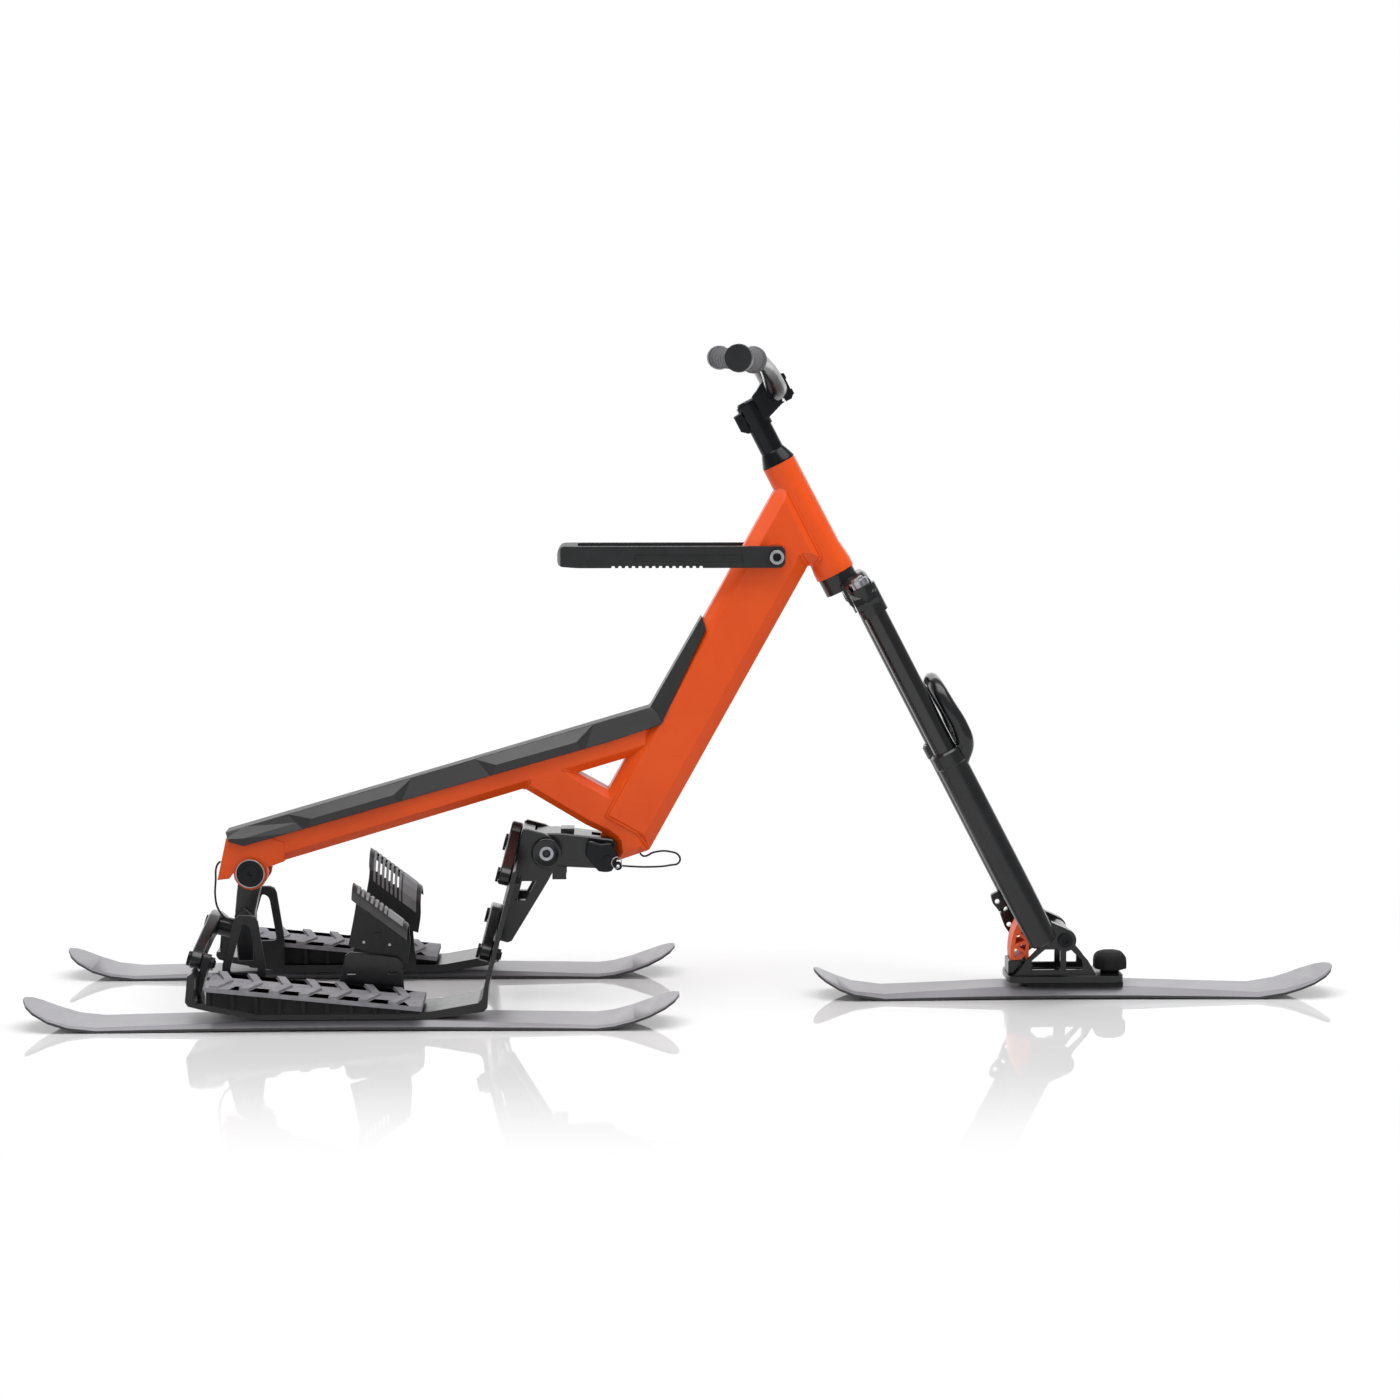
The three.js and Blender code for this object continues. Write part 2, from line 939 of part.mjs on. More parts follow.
function headTube() {
  const profile = [
    [0, 0],
    [head.lowerRadius, 0],
    [head.lowerRadius, head.flareLength / 3],
    [head.waistRadius, head.flareLength],
    [head.upperRadius, head.length - head.flareLength / 2],
    [head.upperRadius, head.length],
    [0, head.length],
  ];
  return turned(profile);
}

function headBore() {
  const upperSeat = head.length - head.seatDepth;
  return join(
    rodAlongZ(0, 0, head.boreRadius, -overrun, head.length + overrun),
    rodAlongZ(0, 0, head.seatRadius, -overrun, head.seatDepth),
    rodAlongZ(0, 0, head.seatRadius, upperSeat, head.length + overrun),
  );
}

function clevisCheeks(grow = 0) {
  const reach = clevis.halfWidth;
  return join(
    sidePrism(clevisOutline(), -reach, reach, { chamfer: clevis.edge, grow }),
    rodAlongY(rearPivot.x, rearPivot.z, clevis.radius + grow, -reach - grow, reach + grow),
  );
}

function mainFrame() {
  const reach = clevis.halfWidth;
  const cheeks = clevisCheeks();
  const slot = block(
    clevis.tabLowX - overrun,
    rearPivot.x + rearPost.eyeRadius + 2 * overrun,
    -clevis.slotHalfWidth,
    clevis.slotHalfWidth,
    rearPivot.z - clevis.radius - overrun,
    rearPivot.z + rearPost.eyeRadius + overrun,
  );
  const tongueSolid = join(
    rodAlongY(lockPlace.x, lockPlace.z, tongue.radius, -tongue.halfWidth, tongue.halfWidth),
    sidePrism(
      outline([
        [lockPlace.x - tongue.radius, lockPlace.z],
        [lockPlace.x, lockPlace.z - tongue.radius],
        [lug.frontX, lug.frontZ],
        [lug.frontX, brace.toZ],
        [lockPlace.x, brace.toZ],
      ]),
      -tongue.halfWidth,
      tongue.halfWidth,
    ),
  );
  const boss = rodAlongY(
    loop.x,
    loop.z,
    loop.bossRadius,
    -loop.halfInner + turnGap,
    loop.halfInner - turnGap,
  );
  const body = join(frameTubes(), fromHead(headTube()), cut(cheeks, slot), tongueSolid, boss);
  return cut(
    body,
    fromHead(headBore()),
    slot,
    rodAlongY(rearPivot.x, rearPivot.z, rearAxle.radius + fitGap, -reach - overrun, reach + overrun),
    rodAlongY(lockPlace.x, lockPlace.z, lockPin.radius + turnGap, -reach, reach),
    rodAlongY(loop.x, loop.z, loopAxle.radius + fitGap, -loop.halfInner, loop.halfInner),
  );
}

// Moulded pad over the top tube, its tongue running up the main tube
function framePad() {
  const half = mainTube.depth / 2;
  const shape = outline([
    [pad.rearX, pad.rearTopZ],
    [pad.rearX + pad.proud, pad.rearTopZ - pad.chamfer],
    [pad.rearLowX, pad.rearLowZ],
    [pad.lowX, pad.lowZ],
    tubePoint(pad.lowBend, -half + pad.tongueInset),
    tubePoint(pad.tongueTip, -half + pad.tongueInset / 2),
    tubePoint(pad.tongueTip + pad.tongueInset / 2, -half - pad.proud),
    [pad.bendX, pad.bendZ],
    [pad.topX, pad.topZ],
  ]);
  const body = sidePrism(shape, -pad.halfWidth, pad.halfWidth, {
    chamfer: pad.proud,
    sideChamfer: pad.sideChamfer,
  });
  return cut(body, frameTubes(fitGap), clevisCheeks(fitGap));
}

// Steering assembly, built upright about its own axis

const stemFoot = head.length + coneCover.lift + coneCover.reach;
const stemTop = stemFoot + fitGap + stem.height;
const barHeight = stemTop - stem.height / 2 + stem.rise;

function bearingRing(foot) {
  return cut(
    rodAlongZ(0, 0, bearing.outerRadius, foot, foot + bearing.height),
    rodAlongZ(0, 0, bearing.boreRadius, foot - overrun, foot + bearing.height + overrun),
  );
}

function headsetCone() {
  const base = head.length + coneCover.lift;
  const profile = [
    [0, base],
    [coneCover.radius, base],
    [coneCover.radius, base + coneCover.lift],
    [coneCover.collarRadius + coneCover.lift, base + coneCover.height],
    [coneCover.collarRadius, base + coneCover.height + coneCover.lift],
    [coneCover.collarRadius, stemFoot],
    [0, stemFoot],
  ];
  return cut(turned(profile), rodAlongZ(0, 0, steerer.radius + fitGap, base - overrun, stemFoot + overrun));
}

function stemBody() {
  const foot = stemFoot + fitGap;
  const barrel = rodAlongZ(0, 0, stem.radius, foot, stemTop);
  const barClamp = rodAlongY(stem.reach, barHeight, stem.barRadius, -stem.width / 2, stem.width / 2);
  const neck = sidePrism(
    outline([
      [0, foot + stem.slot],
      [stem.reach, barHeight - stem.barRadius],
      [stem.reach, barHeight],
      [stem.reach - stem.barRadius / 2, barHeight + stem.barRadius],
      [0, stemTop],
    ]),
    -stem.bodyWidth / 2,
    stem.bodyWidth / 2,
    { chamfer: stem.slot },
  );
  const pinch = sidePrism(
    outline([
      [0, foot],
      [0, stemTop - stem.pinchTop / 2],
      [-stem.pinchReach, stemTop - stem.pinchTop],
      [-stem.pinchReach, stemFoot + stem.pinchTop],
      [-stem.radius, foot],
    ]),
    -stem.pinchWidth / 2,
    stem.pinchWidth / 2,
    { chamfer: stem.slot },
  );
  const pinchHeads = [-1, 1].map((side) => {
    const x = -stem.pinchReach + pinchBolt.radius + stem.slot;
    const outer = stem.pinchWidth / 2;
    const z = (stemFoot + stemTop) / 2 + (side * pinchBolt.pitch) / 2;
    return rodAlongY(x, z, pinchBolt.radius, -outer - pinchBolt.headHeight, -outer + overrun, smallSides);
  });
  return cut(
    join(barrel, barClamp, neck, pinch, ...pinchHeads),
    rodAlongZ(0, 0, steerer.radius + fitGap, stemFoot - overrun, stemTop + overrun),
    rodAlongY(stem.reach, barHeight, bar.centreRadius + fitGap, -stem.width, stem.width),
    block(
      -stem.pinchReach - overrun,
      -steerer.radius + stem.slot,
      -stem.slot / 2,
      stem.slot / 2,
      stemFoot - overrun,
      stemTop + overrun,
    ),
    rodAlongZ(0, 0, topCap.radius + turnGap, stemTop, barHeight + 2 * stem.barRadius),
    block(
      stem.reach + stem.split,
      stem.reach + stem.barRadius + overrun,
      -stem.width,
      stem.width,
      stemFoot - overrun,
      barHeight + stem.barRadius + overrun,
    ),
  );
}

function stemFaceplate() {
  const back = stem.reach + stem.split + 2 * stem.slot;
  const face = stem.reach + stem.faceReach;
  const half = stem.barRadius;
  const plate = sidePrism(
    outline([
      [back, barHeight - half],
      [face - stem.faceCorner, barHeight - half],
      [face, barHeight - half + stem.faceCorner],
      [face, barHeight + half - stem.faceCorner],
      [face - stem.faceCorner, barHeight + half],
      [back, barHeight + half],
    ]),
    -stem.width / 2,
    stem.width / 2,
  );
  const bolts = [];
  const sockets = [];
  for (const y of [-1, 1]) {
    for (const z of [-1, 1]) {
      const atY = y * (stem.width / 2 - clampBolt.headRadius - stem.slot);
      const atZ = barHeight + z * clampBolt.faceShare * bar.centreRadius;
      const top = face + clampBolt.headHeight / 2;
      bolts.push(rodAlongX(atY, atZ, clampBolt.headRadius, face - clampBolt.headHeight, top, smallSides));
      sockets.push(rodAlongX(atY, atZ, clampBolt.hexRadius, top - clampBolt.hexDepth, top + overrun, hexSides));
    }
  }
  const bore = rodAlongY(stem.reach, barHeight, bar.centreRadius + fitGap, -stem.width, stem.width);
  return cut(join(plate, ...bolts), bore, ...sockets);
}

function stemTopCap() {
  const base = stemTop + fitGap;
  const top = base + topCap.height;
  const profile = [
    [0, base],
    [topCap.radius, base],
    [topCap.radius, base + topCap.height / 2],
    [topCap.radius - topCap.height / 2, top],
    [0, top],
  ];
  return cut(turned(profile), rodAlongZ(0, 0, topCap.hexRadius, top - topCap.hexDepth, top + overrun, hexSides));
}

// The bar's centre line in the steering frame, from the right end to the left end
function barCurve() {
  const points = [];
  const outward = bar.halfLength - bar.bendEnd;
  const ends = (side) => [
    [
      stem.reach - outward * Math.tan(bar.sweep),
      side * bar.halfLength,
      barHeight + bar.rise + outward * Math.tan(bar.upsweep),
    ],
    [
      stem.reach - (outward / 3) * Math.tan(bar.sweep),
      side * (bar.bendEnd + outward / 3),
      barHeight + bar.rise + (outward / 3) * Math.tan(bar.upsweep),
    ],
    [stem.reach, side * bar.bendEnd, barHeight + bar.rise],
    [stem.reach, side * bar.straight, barHeight],
    [stem.reach, (side * bar.straight) / 2, barHeight],
  ];
  points.push(...ends(-1), ...ends(1).reverse());
  const curve = new THREE.CurvePath();
  const at = (index) => new THREE.Vector3(...points[index]);
  const middle = (a, b) => at(a).lerp(at(b), 0.5);
  curve.add(new THREE.LineCurve3(at(0), at(1)));
  curve.add(new THREE.CubicBezierCurve3(at(1), at(2), middle(2, 3), middle(2, 3)));
  curve.add(new THREE.CubicBezierCurve3(middle(2, 3), at(3), at(3), at(4)));
  curve.add(new THREE.LineCurve3(at(4), at(5)));
  curve.add(new THREE.CubicBezierCurve3(at(5), at(6), at(6), middle(6, 7)));
  curve.add(new THREE.CubicBezierCurve3(middle(6, 7), middle(6, 7), at(7), at(8)));
  curve.add(new THREE.LineCurve3(at(8), at(9)));
  return curve;
}

function handlebar() {
  const curve = barCurve();
  const length = curve.getLength();
  const radiusAt = (share) => {
    const fromMiddle = Math.abs(share - 1 / 2) * length;
    const taper = THREE.MathUtils.clamp((fromMiddle - bar.straight) / (bar.bendEnd - bar.straight), 0, 1);
    return THREE.MathUtils.lerp(bar.centreRadius, bar.endRadius, taper);
  };
  return sweptRod(curve, radiusAt, bar.steps, gripSides);
}

// A grip about its own axis, its open end at zero
function gripSleeve() {
  const bore = (bar.endRadius + fitGap) / Math.cos(Math.PI / gripSides);
  const profile = [
    [bore, 0],
    [grip.flangeRadius, 0],
    [grip.flangeRadius, grip.flangeLength / 2],
    [grip.radius + grip.ribDepth, grip.flangeLength],
    [grip.radius + grip.ribDepth, grip.collarLength],
  ];
  const ribSpan = grip.length - 2 * grip.collarLength;
  for (let i = 0; i < grip.ribs; i += 1) {
    const start = grip.collarLength + (ribSpan * i) / grip.ribs;
    profile.push([grip.radius - grip.ribDepth, start + ribSpan / grip.ribs / 4]);
    profile.push([grip.radius, start + ribSpan / grip.ribs / 2]);
  }
  profile.push([grip.radius + grip.ribDepth, grip.length - grip.collarLength]);
  profile.push([grip.radius, grip.length]);
  profile.push([0, grip.length + bar.plugLength]);
  profile.push([0, grip.length - bar.plugLength + fitGap]);
  profile.push([bore, grip.length - bar.plugLength + fitGap]);
  profile.push([bore, 0]);
  const points = profile.map(([radius, height]) => new THREE.Vector2(radius, height));
  return toSolid(new THREE.LatheGeometry(points, gripSides).rotateX(Math.PI / 2));
}

// The grip laid along one end of the bar
function placedGrip(side) {
  const curve = barCurve();
  const share = side < 0 ? 0 : 1;
  const tip = curve.getPointAt(share);
  const outward = curve.getTangentAt(share).multiplyScalar(side);
  const start = tip.clone().addScaledVector(outward, -(grip.length - bar.plugLength));
  const turn = new THREE.Quaternion().setFromUnitVectors(new THREE.Vector3(0, 0, 1), outward);
  const matrix = new THREE.Matrix4().compose(start, turn, new THREE.Vector3(1, 1, 1));
  return gripSleeve().transform(matrix.elements);
}

// Fork crown with its steerer tube
function forkCrown() {
  const outer = fork.halfSpread + crown.socketRadius;
  const inner = fork.halfSpread - crown.socketRadius;
  const foot = crown.socketBottom + crown.shoulder;
  const half = [
    [outer, crown.socketTop - crown.shoulder],
    [outer, foot],
    [inner, foot],
    [crown.neckRadius, crown.bottom],
  ];
  const bridge = frontPrism(
    outline(
      [
        [-crown.neckRadius, crown.top],
        [crown.neckRadius, crown.top],
        [fork.halfSpread, crown.socketTop + crown.shoulder / 2],
        ...half,
        ...half.map(([y, z]) => [-y, z]).reverse(),
        [-fork.halfSpread, crown.socketTop + crown.shoulder / 2],
      ],
      crown.corner,
    ),
    crown.bridgeBack,
    crown.bridgeFront,
    { chamfer: crown.chamfer },
  );
  const parts = [bridge, rodAlongZ(0, 0, crown.neckRadius, crown.neckLow, -turnGap)];
  const tools = [];
  for (const side of [-1, 1]) {
    const y = side * fork.halfSpread;
    const top = crown.socketTop + overrun + crown.shoulder;
    const bore = fork.stanchionRadius + fitGap;
    parts.push(rodAlongZ(fork.legOffset, y, crown.socketRadius, crown.socketBottom, crown.socketTop));
    tools.push(rodAlongZ(fork.legOffset, y, bore, crown.socketBottom - overrun, top));
  }
  const backCut = block(
    -crown.neckRadius - overrun,
    fork.legOffset - crown.socketRadius,
    crown.neckRadius + crown.shoulder,
    outer + crown.socketRadius,
    crown.socketBottom - overrun,
    crown.top + overrun,
  );
  tools.push(backCut, mirrored(backCut));
  parts.push(rodAlongZ(0, 0, steerer.radius, crown.neckLow, stemTop - topCap.height / 2));
  tools.push(rodAlongZ(0, 0, steerer.boreRadius, crown.bottom - overrun, stemTop + overrun));
  return cut(join(...parts), ...tools);
}

function stanchion(side) {
  const profile = [
    [0, stanchionEnd],
    [fork.stanchionRadius - turnGap, stanchionEnd],
    [fork.stanchionRadius, stanchionEnd + turnGap],
    [fork.stanchionRadius, crown.socketTop],
    [0, crown.socketTop],
  ];
  return turned(profile).translate([fork.legOffset, side * fork.halfSpread, 0]);
}

// Knurled cap over one leg
function crownAdjuster() {
  const shape = new THREE.Shape();
  for (let i = 0; i < 2 * crownCap.teeth; i += 1) {
    const radius = crownCap.radius - (i % 2) * crownCap.toothDepth;
    const angle = (Math.PI * i) / crownCap.teeth;
    const point = [radius * Math.cos(angle), radius * Math.sin(angle)];
    i === 0 ? shape.moveTo(...point) : shape.lineTo(...point);
  }
  shape.closePath();
  const base = crown.socketTop + fitGap;
  const body = upright(shape, base, base + crownCap.height - crownCap.stepHeight);
  const step = rodAlongZ(0, 0, crownCap.stepRadius, base, base + crownCap.height);
  return join(body, step).translate([fork.legOffset, -fork.halfSpread, 0]);
}

// Foot pivot in the steering frame, from its height over the snow
const footPivotAlong = (footPivot.z - head.z - footPivot.offset * Math.sin(head.lean)) / Math.cos(head.lean);
const [footPivotX] = headPoint(footPivot.offset, footPivotAlong);
const lowersEnd = footPivotAlong + lowers.endRise;
const lowersBoreEnd = lowersEnd + lowers.boreFloor;
const stanchionEnd = lowersBoreEnd + fork.travel + fork.bottomGap;
const upperTab = lowersEnd + tab.upperRise;
const lowerTab = lowersEnd + tab.lowerRise;
const footX = (offset) => footPivotX + offset;

function forkLeg() {
  const collarFoot = lowers.top - lowers.collarLength;
  const profile = [
    [0, lowersEnd],
    [lowers.footRadius - lowers.footEdge, lowersEnd],
    [lowers.footRadius, lowersEnd + lowers.footEdge],
    [lowers.radius, lowersEnd + lowers.footTaper],
    [lowers.radius, collarFoot],
    [lowers.collarRadius, collarFoot + lowers.collarStep],
    [lowers.collarRadius, lowers.top - lowers.collarEdge],
    [lowers.collarRadius - lowers.collarEdge, lowers.top],
    [0, lowers.top],
  ];
  return turned(profile);
}

function forkLowers() {
  const parts = [];
  const tools = [];
  const lugY = fork.halfSpread - lowers.radius + lowers.lugHalfWidth;
  const pivotLow = footPivotAlong - lowers.lugRadius;
  const flareTop = lowersEnd + 3 * lowers.footRadius;
  for (const side of [-1, 1]) {
    const y = side * fork.halfSpread;
    parts.push(forkLeg().translate([fork.legOffset, y, 0]));
    const nearY = Math.min(side * (lugY - lowers.lugHalfWidth), side * (lugY + lowers.lugHalfWidth));
    const lugShape = outline([
      [fork.legOffset - lowers.footRadius / 2, flareTop],
      [fork.legOffset - lowers.footRadius / 2, lowersEnd],
      [footPivot.offset, pivotLow],
      [footPivot.offset + lowers.lugRadius, footPivotAlong],
      [footPivot.offset + lowers.lugRadius / 2, footPivotAlong + lowers.lugRadius],
      [fork.legOffset + lowers.footRadius + lowers.footEdge, lowersEnd + lowers.footRadius],
      [fork.legOffset + lowers.footRadius, flareTop],
    ]);
    parts.push(sidePrism(lugShape, nearY, nearY + 2 * lowers.lugHalfWidth));
    parts.push(rodAlongY(footPivot.offset, footPivotAlong, lowers.lugRadius, nearY, nearY + 2 * lowers.lugHalfWidth));
    tools.push(rodAlongZ(fork.legOffset, y, lowers.boreRadius, lowersBoreEnd, lowers.archTop));
  }
  const outer = fork.halfSpread + 2 * lowers.radius;
  parts.push(forkArch(), brakeTabs());
  tools.push(rodAlongY(footPivot.offset, footPivotAlong, footPivot.axleRadius + fitGap, -outer, outer));
  return cut(join(...parts), ...tools);
}

// The arch bends forward round the stanchions, so its outline is cut by a leaning slab
function forkArch() {
  const band = lowers.archBand;
  const innerFoot = lowers.archHalfSpan - band - band / 2;
  const innerTop = lowers.archTop - band - band / 2;
  const half = [
    [lowers.archCrown / 2, lowers.archTop],
    [lowers.archCrown, lowers.archTop - band],
    [lowers.archHalfSpan, lowers.top + band],
    [lowers.archHalfSpan, lowers.archFoot],
    [innerFoot, lowers.archFoot],
    [lowers.archCrown - band, lowers.archTop - 3 * band],
    [lowers.archCrown / 3, innerTop],
  ];
  const shape = outline([...half, ...half.map(([y, z]) => [-y, z]).reverse()], band / 2);
  const slab = frontPrism(shape, fork.legOffset, lowers.archFront + overrun);
  const side = outline([
    [fork.legOffset + lowers.radius / 2, lowers.archFoot],
    [fork.legOffset + lowers.radius / 2, lowers.top - lowers.collarLength / 2],
    [lowers.archBack, lowers.top + band],
    [lowers.archBack, lowers.archTop],
    [lowers.archFront, lowers.archTop - band],
    [lowers.archFront, lowers.top + band / 2],
    [fork.legOffset + lowers.collarRadius, lowers.archFoot],
  ]);
  return slab.intersect(sidePrism(side, -lowers.archHalfSpan, lowers.archHalfSpan));
}

// Two tabs behind the left leg
function brakeTabs() {
  const from = fork.halfSpread - tab.thickness / 2;
  const back = fork.legOffset - lowers.radius - tab.reach;
  const plate = (foot, length) => {
    const shape = outline(
      [
        [fork.legOffset, foot],
        [fork.legOffset, foot + length],
        [back + tab.edge, foot + length],
        [back, foot + length / 2],
        [back + tab.edge, foot],
      ],
      tab.edge,
    );
    return sidePrism(shape, from, from + tab.thickness);
  };
  const hole = (foot, length) =>
    rodAlongY(back + tab.reach / 2, foot + length / 2, tab.window, from - overrun, from + tab.thickness + overrun, smallSides);
  return cut(
    join(plate(upperTab, tab.upperLength), plate(lowerTab, tab.lowerLength)),
    hole(upperTab, tab.upperLength),
    hole(lowerTab, tab.lowerLength),
  );
}

// Bolt held between the two tabs, its head below the upper one
function tabRod() {
  const low = lowerTab + tab.lowerLength + fitGap;
  const high = upperTab - fitGap;
  const at = fork.legOffset - lowers.radius - tab.reach / 2;
  return join(
    rodAlongZ(at, fork.halfSpread, tab.rodRadius, low, high, smallSides),
    rodAlongZ(at, fork.halfSpread, tab.boltRadius, (low + high) / 2, high, smallSides),
  );
}

// Front foot, its base flat on the ski

const frontSkiTop = frontSki.camber + frontSki.waistThickness;
const footPadFoot = frontSkiTop + fitGap;
const footBaseFoot = footPadFoot + foot.padHeight + fitGap;
const footBaseTop = footBaseFoot + foot.baseHeight;

function footBasePad() {
  const half = foot.halfWidth - foot.padInset;
  const high = footPadFoot + foot.padHeight;
  return roundedPlate(footX(foot.padBackX), footX(foot.frontX), half, foot.padCorner, footPadFoot, high);
}

function skiFoot() {
  const base = roundedPlate(footX(foot.backX), footX(foot.frontX), foot.halfWidth, foot.corner, footBaseFoot, footBaseTop);
  const low = footBaseTop - foot.sink;
  const plate = sidePrism(
    outline([
      [footX(foot.trussBackX), low],
      [footX(foot.trussFrontX), low],
      [footX(foot.kneeFrontX), foot.kneeZ],
      [footX(foot.shoulderFrontX), foot.shoulderZ],
      [footPivotX + foot.hubRadius / 2, footPivot.z + foot.hubRadius / 2],
      [footPivotX - foot.hubRadius / 2, footPivot.z + foot.hubRadius / 2],
      [footX(foot.shoulderBackX), foot.shoulderZ],
      [footX(foot.kneeBackX), foot.kneeZ],
    ]),
    foot.trussInner,
    foot.trussInner + foot.trussWall,
  );
  const windowTop = footPivot.z - foot.hubRadius - foot.strut / 2;
  const windowLow = footBaseTop + foot.strut;
  const postX = footPivotX + foot.postForward;
  const windows = [-1, 1].map((side) => {
    const knee = side < 0 ? footX(foot.kneeBackX) : footX(foot.kneeFrontX);
    const shoulder = side < 0 ? footX(foot.shoulderBackX) : footX(foot.shoulderFrontX);
    const shape = outline([
      [postX + (side * foot.post) / 2, windowLow],
      [knee - side * foot.strut, windowLow],
      [knee - side * foot.strut, foot.kneeZ],
      [shoulder - side * foot.strut, windowTop],
      [postX + (side * foot.post) / 2, windowTop],
    ]);
    return sidePrism(shape, foot.trussInner - overrun, foot.trussInner + foot.trussWall + overrun);
  });
  const wall = cut(plate, ...windows);
  const sleeveEnd = fork.halfSpread - lowers.radius - turnGap;
  const sleeve = rodAlongY(footPivotX, footPivot.z, foot.hubRadius, -sleeveEnd, sleeveEnd);
  const hole = rodAlongY(footPivotX, footPivot.z, footPivot.axleRadius + turnGap, -2 * sleeveEnd, 2 * sleeveEnd);
  return cut(join(base, wall, mirrored(wall), sleeve), hole);
}

// Clamp block that grips the lower end of the rubber arc
function elastomerHolder() {
  const low = footBaseTop + fitGap;
  const backX = footX(foot.backX) + holder.inset;
  const frontX = backX + holder.length;
  const body = sidePrism(
    outline([
      [backX, low],
      [frontX, low],
      [frontX, low + holder.height * holder.slopeShare],
      [frontX - holder.height / 2, low + holder.height],
      [backX + holder.edge, low + holder.height],
      [backX, low + holder.height - holder.edge],
    ]),
    -holder.halfWidth,
    holder.halfWidth,
    { chamfer: holder.edge / 2 },
  );
  const end = holder.halfWidth + holder.boltHead;
  const head = rodAlongY(backX + holder.length / 2, low + holder.height / 2, holder.boltRadius, -end, end, smallSides);
  return join(body, head);
}

// Rubber arc with its open lattice between two bands
function rubberArc() {
  const { fromAngle, toAngle, halfWidth, web } = elastomer;
  const arcBand = (inner, outer) => {
    const shape = new THREE.Shape();
    shape.absarc(0, 0, outer, fromAngle, toAngle, false);
    shape.absarc(0, 0, inner, toAngle, fromAngle, true);
    shape.closePath();
    return sidePrism(shape, -halfWidth, halfWidth, { curveSegments: 2 * elastomer.cells });
  };
  const innerEdge = elastomer.innerRadius + elastomer.innerBand / 2;
  const outerEdge = elastomer.outerRadius - elastomer.outerBand / 2;
  const strut = (innerAngle, outerAngle) => {
    const a = new THREE.Vector2(Math.cos(innerAngle), Math.sin(innerAngle)).multiplyScalar(innerEdge);
    const b = new THREE.Vector2(Math.cos(outerAngle), Math.sin(outerAngle)).multiplyScalar(outerEdge);
    const side = new THREE.Vector2(a.y - b.y, b.x - a.x).setLength(web / 2);
    const corners = [a.clone().sub(side), b.clone().sub(side), b.clone().add(side), a.clone().add(side)];
    return sidePrism(outline(corners.map((corner) => corner.toArray())), -halfWidth, halfWidth);
  };
  const step = (toAngle - fromAngle) / elastomer.cells;
  const inset = web / 2 / elastomer.innerRadius;
  const struts = [strut(fromAngle + inset, fromAngle + inset), strut(toAngle - inset, toAngle - inset)];
  for (let i = 0; i < elastomer.cells; i += 1) {
    const from = fromAngle + i * step;
    struts.push(strut(from + (i === 0 ? inset : 0), from + step / 2));
    struts.push(strut(from + step - (i === elastomer.cells - 1 ? inset : 0), from + step / 2));
  }
  const bands = [
    arcBand(elastomer.outerRadius - elastomer.outerBand, elastomer.outerRadius),
    arcBand(elastomer.innerRadius, elastomer.innerRadius + elastomer.innerBand),
  ];
  const arc = join(...bands, ...struts).translate([
    footPivotX + elastomer.centreForward,
    0,
    footPivot.z - elastomer.centreDrop,
  ]);
  return cut(arc, growBlock(elastomerHolder(), fitGap));
}

// A solid made a little larger by shifting copies of it each way in the side view
function growBlock(solid, gap) {
  const shifts = [
    [gap, 0],
    [-gap, 0],
    [0, gap],
    [0, -gap],
  ];
  return join(solid, ...shifts.map(([x, z]) => solid.translate([x, 0, z])));
}

function bumperStop() {
  const base = footBaseTop + fitGap;
  const rim = base + bumper.stemHeight;
  const domeShares = [[1, 0], [1, 0.35], [0.85, 0.65], [0.5, 0.92], [0, 1]];
  const profile = [
    [0, base],
    [bumper.stemRadius, base],
    [bumper.stemRadius, rim],
    ...domeShares.map(([across, up]) => [bumper.radius * across, rim + bumper.capHeight * up]),
  ];
  return turned(profile).translate([footX(bumper.x), 0, 0]);
}

function footAxle() {
  const end = fork.halfSpread - lowers.radius + 2 * lowers.lugHalfWidth + fitGap;
  const x = footPivot.offset;
  const z = footPivotAlong;
  const face = end + footPivot.headHeight;
  const socketFloor = face - footPivot.hexDepth;
  return cut(
    join(
      rodAlongY(x, z, footPivot.axleRadius, -end - fitGap, end + fitGap),
      rodAlongY(x, z, footPivot.headRadius, -face, -end),
      rodAlongY(x, z, footPivot.headRadius, end, face),
    ),
    rodAlongY(x, z, footPivot.hexRadius, -face - overrun, -socketFloor, hexSides),
    rodAlongY(x, z, footPivot.hexRadius, socketFloor, face + overrun, hexSides),
  );
}

// Skis

function skiHalfWidth(ski, share) {
  const tail = ski.tailWidth / 2;
  const waist = ski.waistWidth / 2;
  const nose = ski.noseWidth / 2;
  const { waistShare, roundBend, tipWidthShare } = skiForm;
  const side = share < waistShare
    ? THREE.MathUtils.lerp(waist, tail, ((waistShare - share) / waistShare) ** 2)
    : THREE.MathUtils.lerp(waist, nose, ((share - waistShare) / (1 - waistShare)) ** 2);
  const round = Math.min(1, (share * ski.length) / tail, ((1 - share) * ski.length) / nose);
  return side * Math.sqrt(Math.max(tipWidthShare, 1 - (1 - round) ** roundBend));
}

function skiSole(ski, x) {
  const tail = Math.max(0, (ski.tailCurve - x) / ski.tailCurve);
  const nose = Math.max(0, (ski.noseCurve - ski.length + x) / ski.noseCurve);
  return ski.tailRise * tail ** skiForm.tailBend + ski.noseRise * nose ** skiForm.noseBend;
}

